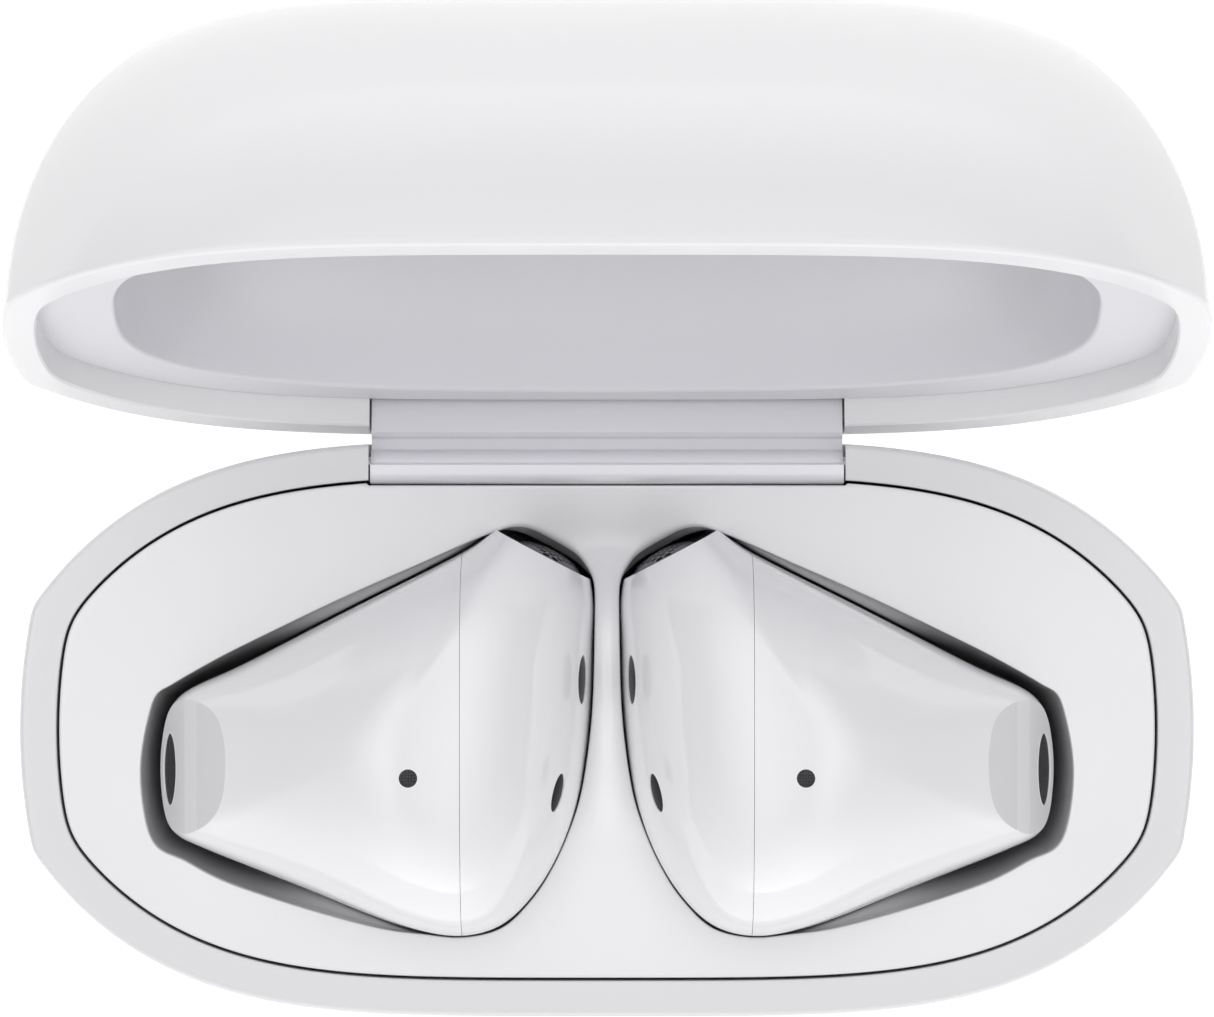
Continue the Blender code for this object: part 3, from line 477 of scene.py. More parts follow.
CASE_WHITE = plastic("case_gloss_white", (0.80, 0.798, 0.812), 0.16, grain=0.05)
# The lower case is the same white plastic as the lid; its darker colour is painted shade.
BODY_SHADED_WHITE = plastic("body_white_painted_shade", (0.72, 0.718, 0.732), 0.14, grain=0.05)
CRADLE_WHITE = plastic("cradle_white", (0.80, 0.798, 0.812), 0.2, grain=0.06, coat=0.15)
# The liner is the same white plastic as the case; its darker lilac colour is painted shade of
# the lid's cavity.
LINER_SHADED_LILAC = plastic("liner_painted_lilac_shade", (0.75, 0.745, 0.775), 0.22, grain=0.05)
BUD_WHITE = plastic("earbud_gloss_white", (0.80, 0.798, 0.815), 0.07, grain=0.02, coat=0.4)
# The stem's flats are the earbud's own white plastic; their rougher finish is real, but their
# darker colours are painted shade.
LENS_FLAT_SHADED = plastic("stem_lens_painted_shade", (0.63, 0.627, 0.65), 0.16, grain=0.02)
BAND_FLAT_SHADED = plastic("stem_band_painted_shade", (0.72, 0.717, 0.738), 0.12, grain=0.02)
SHADED_FLAT_LOOKS = (LENS_FLAT_SHADED, BAND_FLAT_SHADED, BAND_FLAT_SHADED)
HINGE_GREY = metal("hinge_satin_metal", (0.76, 0.755, 0.79), 0.42, 0.12, metallic=0.3)
DARK_GRILLE = metal("dark_grille", (0.12, 0.12, 0.13), 0.42, metallic=0.5)
WINDOW_BLACK = plastic("sensor_window_black", (0.016, 0.016, 0.020), 0.3, gloss=0.12)
FINE_MESH = speckled_mesh("fine_mesh", (0.006, 0.006, 0.008), (0.036, 0.036, 0.04), 9000.0)
HOLLOW_BLACK = plastic("hollow_black", (0.02, 0.02, 0.022), 0.6)
STEEL = metal("plain_steel", (0.55, 0.55, 0.56), 0.3, brushed=0.2)
LIGHT_MILKY = plastic("light_guide_milky", (0.86, 0.88, 0.90), 0.15, translucency=0.5)
INNER_LOOKS = {
    "nickel": metal("nickel_plate", (0.62, 0.61, 0.58), 0.22),
    "gold_contact": metal("gold_plate", (0.83, 0.62, 0.30), 0.2),
    "copper_coil": metal("lacquered_copper", (0.72, 0.38, 0.22), 0.3, brushed=0.4),
    "ferrite": plastic("ferrite_sheet", (0.09, 0.09, 0.10), 0.6, grain=0.5),
    "circuit_board": plastic("solder_mask_green", (0.03, 0.18, 0.09), 0.4, grain=0.2),
    "black_plastic": plastic("moulded_black", (0.03, 0.03, 0.034), 0.45, grain=0.3),
    "battery_foil": metal("battery_foil", (0.60, 0.60, 0.62), 0.35),
    "foam_pad": plastic("soft_foam", (0.10, 0.10, 0.10), 0.9, grain=1.0, grain_size=2500.0),
    "frame_plastic": plastic("frame_white", (0.78, 0.78, 0.79), 0.4, grain=0.2),
    "steel": STEEL,
}


# ---------------------------------------------------------------- lower case
def hinge_notch(gap):
    """Room for the hinge in the case's back wall."""
    return box_bm((-HINGE_HALF_WIDTH - gap, HINGE_Y - BARREL_RADIUS - 0.4,
                   HINGE_Z - BARREL_RADIUS - 0.55),
                  (HINGE_HALF_WIDTH + gap, CASE_HALF_DEPTH + 1.0, RIM + 1.0))


def fillet_loops(outline_at, edge_z, radius, count=6):
    """A quarter-round edge: from the wall (inset 0) to the flat (inset radius)."""
    loops = []
    for turn in np.linspace(0.0, math.pi / 2, count):
        inset = radius * (1 - math.cos(turn))
        drop = radius * (1 - math.sin(turn))
        loops.append(level(outline_at(inset), edge_z - drop))
    return loops


def body_shell():
    """The lower case, hollow, with its openings for the hinge, port, button and light."""
    outer = dome(case_outline(), (BASE_HALF_WIDTH, BASE_HALF_DEPTH), BODY_ROUND_HEIGHT,
                 -BODY_ROUND_HEIGHT, round_shares(28)[::-1])
    inner = dome(opening_outline(BODY_WALL), (BASE_HALF_WIDTH - BODY_WALL,
                                              BASE_HALF_DEPTH - BODY_WALL),
                 BODY_ROUND_HEIGHT, BODY_FLOOR - BODY_ROUND_HEIGHT, round_shares(12))
    walls = [level(case_outline(), z) for z in np.linspace(BODY_ROUND_HEIGHT, RIM - 1.0, 8)[1:]]
    rim = fillet_loops(case_outline, RIM, RIM_FILLET)
    lip = 0.10
    inner_edge = fillet_loops(lambda i: opening_outline(BODY_WALL - SEAM - i), RIM, lip)[::-1]
    shell = loft_bm(outer + walls + rim + inner_edge
                    + [level(opening_outline(BODY_WALL), RIM - 1.6)]
                    + inner)
    port_low, port_high = node_box("charging_port")
    port_half = (port_high - port_low) / 2
    port = slab_bm((0, 0, middle_height("charging_port")), (0, 1, 0), (1, 0, 0), (0, 0, 1),
                   oval(port_half[0] + PORT_GAP, port_half[2] + PORT_GAP, 48, power=5.0),
                   4.0, 14.0)
    button = slab_bm((0, 0, middle_height("pairing_button")), (0, 1, 0), (0, 0, 1), (1, 0, 0),
                     oval(BUTTON_RADIUS + 0.06, BUTTON_RADIUS + 0.06, 96), 4.0, 14.0)
    light = slab_bm((0, 0, middle_height("status_light_guide")), (0, 1, 0), (0, 0, 1), (1, 0, 0),
                    oval(LIGHT_BORE, LIGHT_BORE, 40), -14.0, -4.0)
    shell = combine(shell, "DIFFERENCE", hinge_notch(0.06), port, button, light)
    piece("case_body_shell", shell, BODY_SHADED_WHITE, "case_body", ["body_shell"])


# ---------------------------------------------------------------- earbud plan
BUD_PLAN = ((16.90, -1.50), (16.55, -3.75), (15.40, -4.45), (13.50, -5.22), (11.10, -6.15),
            (8.70, -7.12), (7.00, -7.65), (5.45, -7.85), (3.95, -7.45), (2.80, -6.35),
            (2.05, -5.20), (1.50, -4.00), (1.05, -2.60), (0.75, -0.90), (0.57, 0.90),
            (0.50, 3.20), (0.52, 5.10), (1.15, 7.10), (2.60, 8.30), (4.10, 7.55),
            (5.50, 6.62), (9.70, 4.50), (13.60, 2.50), (14.90, 1.90), (15.95, 1.40),
            (16.60, 0.60))
POCKET_PLAN = ((17.60, -1.54), (17.18, -4.20), (15.93, -4.98), (14.70, -5.65), (13.30, -6.18),
               (11.14, -6.86), (8.73, -7.50), (7.05, -7.76), (5.45, -7.91), (3.93, -7.53),
               (2.76, -6.40), (2.01, -5.23), (1.45, -4.01), (0.99, -2.62), (0.69, -0.91),
               (0.51, 0.89), (0.44, 3.20), (0.45, 5.35), (0.76, 6.15), (1.26, 6.62),
               (2.11, 7.12), (2.85, 7.50), (3.45, 7.61), (4.17, 7.48), (5.34, 6.98),
               (6.93, 6.27), (8.77, 5.47), (10.62, 4.63), (12.45, 3.75), (14.27, 2.86),
               (15.72, 2.07), (16.50, 1.60), (17.12, 1.08))

# The pocket's wall: how far in it leans, its depth along the head and its depth by the stem.
POCKET_WALL = ((0.02, 0.75, 1.0), (0.12, 1.10, 1.7), (0.30, 1.28, 2.7), (0.50, 1.35, 3.8),
               (0.70, 1.42, 5.2), (0.90, 1.55, 7.0), (0.98, 2.00, 8.6))


# ---------------------------------------------------------------- charging cradle
def distance_to_loop(points, loop):
    """Shortest distance from each point to a closed polyline."""
    start = loop
    span = np.roll(loop, -1, axis=0) - start
    best = np.full(len(points), 1e9)
    for i in range(0, len(points), 2000):
        part = points[i:i + 2000, None, :]
        t = np.clip(((part - start) * span).sum(-1) / (span ** 2).sum(-1), 0.0, 1.0)
        nearest = start + span * t[..., None]
        best[i:i + 2000] = np.sqrt(((part - nearest) ** 2).sum(-1)).min(axis=1)
    return best


def inside_loop(points, loop):
    """Whether each point lies inside a closed polyline."""
    x, y = points[:, 0], points[:, 1]
    inside = np.zeros(len(points), dtype=bool)
    for (x0, y0), (x1, y1) in zip(loop, np.roll(loop, -1, axis=0)):
        if y0 == y1:
            continue
        crosses = (y0 > y) != (y1 > y)
        inside ^= crosses & (x < (x1 - x0) * (y - y0) / (y1 - y0) + x0)
    return inside


def within(points, loops):
    """Whether each point lies inside the first loop and outside the others."""
    good = inside_loop(points, loops[0])
    for loop in loops[1:]:
        good &= ~inside_loop(points, loop)
    return good


def triangulated(loops, free, precision):
    """Flat triangles between the first loop and the others, and each vertex's sources."""
    edges = []
    at = 0
    for loop in loops:
        edges += [(at + i, at + (i + 1) % len(loop)) for i in range(len(loop))]
        at += len(loop)
    points = [Vector(p) for p in np.vstack([*loops, free])]
    flat, _, faces, sources, _, _ = delaunay_2d_cdt(points, edges, [], 0, precision)
    flat = np.array(flat)
    good = within(np.array([flat[list(f)].mean(axis=0) for f in faces]), loops)
    return flat, [f for f, use in zip(faces, good) if use], sources


def edge_round(distance, radius):
    """How far a rounded edge has dropped at a distance from the edge."""
    short = np.clip(radius - distance, 0.0, radius)
    return radius - np.sqrt(np.maximum(radius ** 2 - short ** 2, 0.0))


CRADLE_DROP = 0.02           # the cradle's face lies just under the rim
CRADLE_EDGE = 0.12
CRADLE_SKIN = 0.34
STRIP_RISE = 1.5             # the strip between the pockets is crowned
STRIP_MIDDLE = 1.2
STRIP_SPREAD = (1.2, 4.6)
HOLLOW_MIDDLE = (1.7, 7.0)   # the face dips beside each nozzle
HOLLOW_SPREAD = (2.1, 1.3)
HOLLOW_DEPTH = 0.75
FACE_RINGS = (0.02, 0.045, 0.08, 0.12, 0.17, 0.25, 0.4, 0.65)
FACE_GRID = 0.3
NOTCH_Y = HINGE_Y - 0.80 - 0.05
NOTCH_HALF_WIDTH = HINGE_HALF_WIDTH + 0.05


def cradle_top(points, outer, pockets):
    """Height of the cradle's face above the rim: dished towards the nozzle hollows."""
    height = -CRADLE_DROP - edge_round(distance_to_loop(points, outer), CRADLE_EDGE)
    x, y = points.T
    height = height + STRIP_RISE * np.exp(-(x / STRIP_SPREAD[0]) ** 2
                                          - ((y - STRIP_MIDDLE) / STRIP_SPREAD[1]) ** 4)
    for side, pocket in zip((-1, 1), pockets):
        hollow = np.array(HOLLOW_MIDDLE) * (side, 1)
        reach = np.linalg.norm((points - hollow) / HOLLOW_SPREAD, axis=1)
        height = height - HOLLOW_DEPTH * np.exp(-0.5 * reach ** 2)
        lip = 0.07 + 0.28 * np.exp(-reach ** 2)
        height = height - edge_round(distance_to_loop(points, pocket), lip)
    return height


def cradle_outline():
    """The cradle's outer edge: the case's mouth with a straight notch for the hinge."""
    plan = opening_outline(BODY_WALL + SEAM)
    kept = plan[~((np.abs(plan[:, 0]) < NOTCH_HALF_WIDTH) & (plan[:, 1] > NOTCH_Y))]
    split = int(np.argmax(np.linalg.norm(np.roll(kept, -1, axis=0) - kept, axis=1)))
    kept = np.roll(kept, -(split + 1), axis=0)
    corners = np.array([(-1, 1), (1, 1)]) * (NOTCH_HALF_WIDTH, NOTCH_Y)
    if kept[0, 0] > 0:
        corners = corners[[1, 0]]
    return np.vstack([kept, np.linspace(corners[1], corners[0], 60)])


def pocket_outline():
    """The right-hand pocket's edge, nudged towards the earbud where the gap is narrow."""
    pocket = smooth_ring(catmull_loop(POCKET_PLAN, 420), 1.6)
    room = distance_to_loop(pocket, smooth_ring(catmull_loop(BUD_PLAN, BUD_COUNT), 2.4))
    return pocket + loop_normals(pocket) * (0.04 * np.exp(-(room / 0.15) ** 2))[:, None]


def face_points(loops):
    """Points that fill the cradle's face: rings along each edge, then a staggered grid."""
    free = []
    for k, loop in enumerate(loops):
        for gap in FACE_RINGS:
            ring = inset_loop(loop, gap if k == 0 else -gap)
            clear = np.ones(len(ring), dtype=bool)
            for other in loops:
                clear &= distance_to_loop(ring, other) > gap * 0.9
            free.append(ring[clear])
    xs = np.arange(-21.0, 21.0, FACE_GRID)
    ys = np.arange(-10.0, 10.0, FACE_GRID)
    grid = np.stack(np.meshgrid(xs, ys), axis=-1).reshape(-1, 2)
    grid[:, 0] += 0.15 * ((np.round(grid[:, 1] / FACE_GRID).astype(int)) % 2)
    far = np.ones(len(grid), dtype=bool)
    for loop in loops:
        far &= distance_to_loop(grid, loop) > 0.75
    free = np.vstack([*free, grid[far]])
    return free[within(free, loops)]


def charging_cradle():
    """The cradle's crowned face with its outer wall and its two pockets."""
    outer = cradle_outline()
    pocket = pocket_outline()
    pockets = [pocket * (-1, 1), pocket]
    loops = [outer, *pockets]
    flat, faces, sources = triangulated(loops, face_points(loops), 1e-6)
    height = cradle_top(flat, outer, pockets)
    bm = bmesh.new()
    made = [bm.verts.new((x, y, z + RIM)) for (x, y), z in zip(flat, height)]
    for face in faces:
        bm.faces.new([made[i] for i in face])
    home = {source: new for new, group in enumerate(sources) for source in group}
    at = 0
    for loop, side in zip(loops, (0, -1, 1)):
        top = [made[home[at + i]] for i in range(len(loop))]
        at += len(loop)
        if side == 0:
            add_wall(bm, top, [level(loop, RIM - TRAY_THICKNESS)], False)
        else:
            edge = np.array([vert.co.z - RIM for vert in top])
            add_wall(bm, top, pocket_walls(loop, side, edge), True)
    bmesh.ops.recalc_face_normals(bm, faces=bm.faces)
    up = max(bm.faces, key=lambda f: f.calc_center_median().z)
    if up.normal.z < 0:
        bmesh.ops.reverse_faces(bm, faces=bm.faces)
    drop_loose(bm)
    tray = piece("cradle_moulding", bm, CRADLE_WHITE, "case_body",
                 ["charging_cradle"])
    solid = tray.modifiers.new("thickness", "SOLIDIFY")
    solid.thickness = CRADLE_SKIN * MM
    solid.offset = -1.0


def add_wall(bm, top, loops, closed):
    """Hang walls below a ring of vertices."""
    count = len(top)
    above = top
    for loop in loops:
        below = [bm.verts.new(p) for p in loop]
        for i in range(count):
            j = (i + 1) % count
            bm.faces.new((above[i], above[j], below[j], below[i]))
        above = below
    if closed:
        bm.faces.new(above)


def pocket_walls(loop, side, edge):
    """Levels of a pocket below its edge, then its floor, the stem well and the well's end."""
    stem = STEM * (side, 1)
    spokes = loop - stem
    spokes = spokes / np.linalg.norm(spokes, axis=1)[:, None]
    well = stem + spokes * (STEM_RADIUS + STEM_WELL_GAP)
    outward = nozzle_axes()[0][:2]
    head = catmull_loop(BUD_PLAN, BUD_COUNT)
    head = head - outward * np.maximum((head - NOZZLE) @ outward, 0.0)[:, None]
    room = np.clip(distance_to_loop(loop * (side, 1), head) - 0.08, 0.0, 0.8)
    past_nozzle = (loop * (side, 1) - NOZZLE) @ outward
    room = room * np.where(past_nozzle > -0.3, 0.45, 1.0)
    draft = loop_normals(loop) * room[:, None]
    by_stem = 1 / (1 + np.exp((12.9 - np.abs(loop[:, 0])) / 0.7))
    levels = []
    for lean, shelf, slope in POCKET_WALL:
        depth = (1 - by_stem) * shelf * (0.35 + 1.1 * room) + by_stem * slope
        z = RIM + np.minimum(-depth, edge - 0.05 - lean)
        levels.append(np.column_stack([loop + draft * lean, z]))
    loop = loop + draft
    levels.append(level(loop, RIM + POCKET_FLOOR + 0.6))
    levels.append(level(loop * 0.98 + stem * 0.02, RIM + POCKET_FLOOR + 0.15))
    levels.append(level(loop * 0.93 + stem * 0.07, RIM + POCKET_FLOOR))
    levels.append(level(loop * 0.35 + well * 0.65, RIM + POCKET_FLOOR))
    levels.append(level(well, RIM + POCKET_FLOOR - 0.1))
    levels += [level(well, RIM + z) for z in np.linspace(POCKET_FLOOR - 0.4,
                                                        STEM_BOTTOM - 0.1, 6)]
    levels.append(level(stem + (well - stem) * 0.85, RIM + STEM_BOTTOM - 0.3))
    return levels


# ---------------------------------------------------------------- earbuds
BUD_MIDDLE = np.array((8.2, -0.6))
CROWN_POWER = 2.3
BELLY_POWER = 2.2
NOZZLE_CENTRE = np.array((*NOZZLE, RIM + NOZZLE_Z))


def crown_height(x):
    """Height of the head's crown, lower towards the stem."""
    share = np.clip((STEM[0] + 1.0 - x) / (STEM[0] - BUD_SEAM_X - 1.0), 0.0, 1.0)
    ease = share * share * (3 - 2 * share)
    return BUD_CROWN_STEM + (BUD_CROWN_HEAD - BUD_CROWN_STEM) * ease


def bud_surface():
    """The left-hand earbud's skin on positive X, as loops from the crown to the stem's tip."""
    outline = smooth_ring(catmull_loop(BUD_PLAN, BUD_COUNT), 2.4)
    loops = []
    for turn in np.linspace(0.02, math.pi / 2, 44):
        share = math.sin(turn) ** (2 / CROWN_POWER)
        lift = math.cos(turn) ** (2 / CROWN_POWER)
        ring = BUD_MIDDLE + (outline - BUD_MIDDLE) * share
        z = RIM + BUD_EQUATOR + crown_height(ring[:, 0]) * lift
        loops.append(np.column_stack([ring, z]))
    spokes = outline - BUD_MIDDLE
    spokes = spokes / np.linalg.norm(spokes, axis=1)[:, None]
    for turn in np.linspace(0.0, math.pi / 2, 26)[1:]:
        drop = math.sin(turn) ** (2 / BELLY_POWER)
        keep = math.cos(turn) ** (2 / BELLY_POWER)
        ring = (STEM + spokes * STEM_RADIUS) * (1 - keep) + outline * keep
        loops.append(level(ring, RIM + BUD_EQUATOR - BUD_HEAD_DEPTH * drop))
    for z in np.linspace(BUD_EQUATOR - BUD_HEAD_DEPTH - 1.0, STEM_BOTTOM + 1.0, 14):
        share = (BUD_EQUATOR - BUD_HEAD_DEPTH - z) / (-STEM_BOTTOM - BUD_HEAD_DEPTH)
        radius = STEM_RADIUS + (STEM_TIP_RADIUS - STEM_RADIUS) * share
        loops.append(level(STEM + spokes * radius, RIM + z))
    for turn in np.linspace(0.0, math.pi / 2, 9)[1:]:
        radius = STEM_TIP_RADIUS - 1.0 * (1 - math.cos(turn))
        loops.append(level(STEM + spokes * radius, RIM + STEM_BOTTOM + 1.0 - math.sin(turn)))
    return loops


def cut_plane(bm, point, normal):
    """Cut away what lies past a plane and close the opening."""
    cut = bmesh.ops.bisect_plane(bm, geom=list(bm.verts) + list(bm.edges) + list(bm.faces),
                                 dist=1e-6, plane_co=point, plane_no=normal, clear_outer=True)
    edges = [e for e in cut["geom_cut"] if isinstance(e, bmesh.types.BMEdge)]
    bmesh.ops.contextual_create(bm, geom=edges)


def nozzle_axes():
    """The way the speaker's opening faces, and the way across it."""
    heading = math.radians(NOZZLE_DEG)
    outward = np.array((-math.cos(heading), math.sin(heading), 0.0))
    across = np.array((math.sin(heading), math.cos(heading), 0.0))
    return outward, across


def surface_frame(tree, x, y):
    """Point, outward direction and the two tangents of the head above a plan point."""
    point, normal, _, _ = tree.ray_cast(Vector((x, y, RIM + 20.0)), Vector((0, 0, -1)))
    outward = np.array(normal)
    across = np.cross((0.0, 0.0, 1.0), outward)
    if np.linalg.norm(across) < 0.2:
        across = np.array((1.0, 0.0, 0.0)) - outward * outward[0]
    across /= np.linalg.norm(across)
    return np.array(point), outward, across, np.cross(outward, across)


def laid_on(tree, place, points, sink):
    """Points of a small flat shape dropped on to the surface and sunk a little."""
    centre, outward, across, up = place
    laid = []
    for a, b in points:
        start = centre + across * a + up * b + outward * 1.5
        hit, _, _, _ = tree.ray_cast(Vector(start), Vector(-outward))
        if hit is None:
            hit = Vector(start - outward * 1.5)
        laid.append(np.array(hit) - outward * sink)
    return np.array(laid)


def inlay(tree, place, half_length, half_height, sink, bulge=0.0):
    """An oval patch that follows the surface."""
    rings = [laid_on(tree, place, oval(half_length * share, half_height * share, 48),
                     sink - bulge * (1 - share ** 2))
             for share in (1.0, 0.85, 0.65, 0.4, 0.15)]
    return loft_bm(rings, cap_start=False)


def inlay_ring(tree, place, half_length, half_height, radius):
    """A fine ring round an inlay."""
    path = laid_on(tree, place, oval(half_length, half_height, 64), 0.0)
    outward = place[1]
    spokes = path - path.mean(axis=0)
    spokes /= np.linalg.norm(spokes, axis=1)[:, None]
    loops = []
    for turn in np.linspace(0.0, 2 * math.pi, 8, endpoint=False):
        loops.append(path + spokes * radius * math.cos(turn) + outward * radius
                     * (math.sin(turn) - 0.5))
    loops.append(loops[0])
    bm = loft_bm(loops, cap_start=False, cap_end=False)
    bmesh.ops.remove_doubles(bm, verts=bm.verts, dist=1e-5)
    return bm


def grid_points(loops, spacing):
    """A grid of points between an outline and its holes, clear of their edges."""
    reach = np.abs(loops[0]).max(axis=0)
    grid = np.stack(np.meshgrid(np.arange(-reach[0], reach[0], spacing),
                                np.arange(-reach[1], reach[1], spacing)), axis=-1)
    free = grid.reshape(-1, 2)
    good = within(free, loops)
    for loop in loops:
        good &= distance_to_loop(free, loop) > spacing * 0.35
    return free[good]


GRILLE_HALF = np.array((NOZZLE_HALF_WIDTH - 0.06, NOZZLE_HALF_HEIGHT - 0.06))
GRILLE_MARGIN = (0.19, 0.14)
GRILLE_RISE = 0.38
SLOT_HALF = (0.135, 0.10)
SLOT_PITCH = (0.36, 0.315)
SLOT_STAGGER = 0.18


def grille_slots():
    """Staggered rows of small rounded slots."""
    slot = oval(*SLOT_HALF, 12, power=3.0)
    slots = []
    for row in range(-7, 8):
        shift = SLOT_STAGGER if row % 2 else 0.0
        for column in range(-4, 5):
            place = np.array((column * SLOT_PITCH[0] + shift, row * SLOT_PITCH[1]))
            if np.linalg.norm(place / (GRILLE_HALF - GRILLE_MARGIN)) < 1.0:
                slots.append(slot + place)
    return slots


def nozzle_grille():
    """A domed sheet with rows of small rounded slots, and a dark hollow behind it."""
    outward, across = nozzle_axes()
    loops = [oval(*GRILLE_HALF, 96), *grille_slots()]
    flat, faces, _ = triangulated(loops, grid_points(loops, 0.16), 1e-7)
    share = np.clip(1 - ((flat / GRILLE_HALF) ** 2).sum(axis=1), 0.0, 1.0)
    rise = GRILLE_RISE * share ** 0.62 - 0.06
    solid = (NOZZLE_CENTRE + flat[:, :1] * across + flat[:, 1:] * (0, 0, 1)
             + rise[:, None] * outward)
    bm = as_bmesh(solid, faces)
    drop_loose(bm)
    bmesh.ops.recalc_face_normals(bm, faces=bm.faces)
    back = slab_bm(NOZZLE_CENTRE, outward, across, (0, 0, 1), oval(*GRILLE_HALF, 48),
                   -0.5, -0.34)
    return bm, back


# Details of the head by their place in plan: half length, and half height up the surface.
INLAYS = {"upper_sensor_window": ((0.90, 1.89), 0.92, 0.50),
          "lower_sensor_window": ((1.82, -2.31), 0.74, 0.40),
          "mic_grille": ((16.50, -1.54), 1.36, 0.50),
          "vent": ((7.34, -1.66), 0.34, 0.34)}
MIC_RING = (1.38, 0.52, 0.03)

# Flats at the stem's end: a point on each as (x, height from the rim), and its slope.
STEM_FLATS = (((14.38, 2.66), 49.0), ((15.40, 1.487), 54.0), ((15.89, 0.813), 60.0))


def shade_flats(mesh, side):
    """Give the stem's flats a rougher finish and darker colours that are painted shade."""
    for index, ((_, slope), look) in enumerate(zip(STEM_FLATS, SHADED_FLAT_LOOKS), 1):
        mesh.materials.append(look)
        turn = math.radians(slope)
        facing = Vector((side * math.sin(turn), 0.0, math.cos(turn)))
        for face in mesh.polygons:
            if face.normal.dot(facing) > 0.99995:
                face.material_index = index
    looks_at_edge = {}
    for face in mesh.polygons:
        for key in face.edge_keys:
            looks_at_edge.setdefault(key, set()).add(face.material_index)
    for edge in mesh.edges:
        if len(looks_at_edge.get(edge.key, ())) > 1:
            edge.use_edge_sharp = True


def bud_details(tree):
    """Cutters for each half's details, and the small pieces that fill them."""
    outward, across = nozzle_axes()
    tools = {"speaker": [slab_bm(NOZZLE_CENTRE, outward, across, (0, 0, 1),
                                 oval(NOZZLE_HALF_WIDTH, NOZZLE_HALF_HEIGHT, 96), -0.9, 1.0)],
             "stem": []}
    details = {}
    for name, (plan, half_length, half_height) in INLAYS.items():
        place = surface_frame(tree, *plan)
        owner, bulge = ("speaker", 0.03) if "window" in name else ("stem", 0.0)
        tools[owner].append(slab_bm(*place, oval(half_length, half_height, 64), -0.5, 1.2))
        details[name] = inlay(tree, place, half_length + 0.01, half_height + 0.01, 0.05, bulge)
    return tools, details


def bud_halves(whole, tools):
    """The speaker's and the stem's halves, parted by a fine seam, with their recesses cut."""
    gap = 0.008
    halves = {}
    for part, x, direction in (("speaker", BUD_SEAM_X - gap, 1.0),
                               ("stem", BUD_SEAM_X + gap, -1.0)):
        half = whole.copy()
        cut_plane(half, Vector((x, 0, 0)), Vector((direction, 0, 0)))
        bmesh.ops.recalc_face_normals(half, faces=half.faces)
        halves[part] = combine(half, "DIFFERENCE", *tools[part])
    return halves


def earbuds():
    """Both earbuds, modelled once on the right and mirrored for the left."""
    whole = loft_bm(bud_surface())
    for (x, z), slope in STEM_FLATS:
        turn = math.radians(slope)
        cut_plane(whole, Vector((x, 0, RIM + z)), Vector((math.sin(turn), 0, math.cos(turn))))
    tree = BVHTree.FromBMesh(whole)
    tools, details = bud_details(tree)
    ring = inlay_ring(tree, surface_frame(tree, *INLAYS["mic_grille"][0]), *MIC_RING)
    cut_plane(whole, Vector(NOZZLE_CENTRE), Vector(nozzle_axes()[0]))
    halves = bud_halves(whole, tools)
    whole.free()
    grille, hollow = nozzle_grille()
    for label, side in (("left", -1.0), ("right", 1.0)):
        body = f"{label}_earbud"
        for part, half in halves.items():
            made = piece(f"{label}_bud_{part}_half", mirrored(half, side), BUD_WHITE, body,
                         [f"{label}_earbud_{part}_shell"], smooth_deg=11.0)
            if part == "stem":
                shade_flats(made.data, side)
        piece(f"{label}_bud_nozzle_mesh", mirrored(grille, side), DARK_GRILLE, body,
              [f"{label}_earbud_speaker_grille"])
        piece(f"{label}_bud_nozzle_hollow", mirrored(hollow, side), HOLLOW_BLACK, body)
        piece(f"{label}_bud_mic_ring", mirrored(ring, side), BUD_WHITE, body)
        for name, made in details.items():
            look, slot = ((WINDOW_BLACK, "sensor_window") if "window" in name
                          else (FINE_MESH, "dark_grille"))
            piece(f"{label}_bud_{name}", mirrored(made, side), look, body,
                  [f"{label}_earbud_{name}"])


# ---------------------------------------------------------------- rear fittings
def turned_disc(face_y, middle_z, profile, count=72):
    """A round piece about the Y axis from (radius, depth) steps."""
    loops = []
    for radius, depth in profile:
        ring = oval(radius, radius, count)
        loops.append(np.column_stack([ring[:, 0], np.full(count, face_y + depth),
                                      middle_z + ring[:, 1]]))
    return loft_bm(loops)


def rear_fittings():
    """The button's cap, the light's lens and the port's sleeve."""
    low, high = node_box("pairing_button")
    profile = [(BUTTON_RADIUS - 0.02, low[1] - high[1]), (BUTTON_RADIUS - 0.02, -0.12),
               (BUTTON_RADIUS - 0.05, -0.05), (BUTTON_RADIUS - 0.12, -0.01),
               (BUTTON_RADIUS - 0.25, 0.0), (1.6, -0.02), (1.0, -0.05), (0.4, -0.07)]
    cap = turned_disc(high[1], middle_height("pairing_button"), profile)
    piece("pairing_button_cap", cap, CASE_WHITE, "pairing_button",
          ["pairing_button"])

    low, high = node_box("status_light_guide")
    profile = [(0.57, high[1] - low[1]), (0.57, 0.06), (0.54, 0.02), (0.48, 0.0), (0.2, -0.01)]
    guide = turned_disc(low[1], middle_height("status_light_guide"), profile, 40)
    piece("status_light_lens", guide, LIGHT_MILKY, "case_body",
          ["status_light_guide"])

    low, high = node_box("charging_port")
    middle = middle_height("charging_port")
    half = (high - low) / 2
    loops = []
    for inset, y in ((0.25, low[1] + 0.4), (0.25, high[1] - 0.08), (0.22, high[1] - 0.02),
                     (0.17, high[1]), (0.06, high[1]), (0.02, high[1] - 0.03),
                     (0.0, high[1] - 0.10), (0.0, low[1]), (1.2, low[1])):
        ring = oval(half[0] - inset, half[2] - inset, 80, power=4.5)
        loops.append(np.column_stack([ring[:, 0], np.full(len(ring), y), middle + ring[:, 1]]))
    piece("charging_port_sleeve", loft_bm(loops, cap_start=False), STEEL, "case_body",
          ["charging_port"])


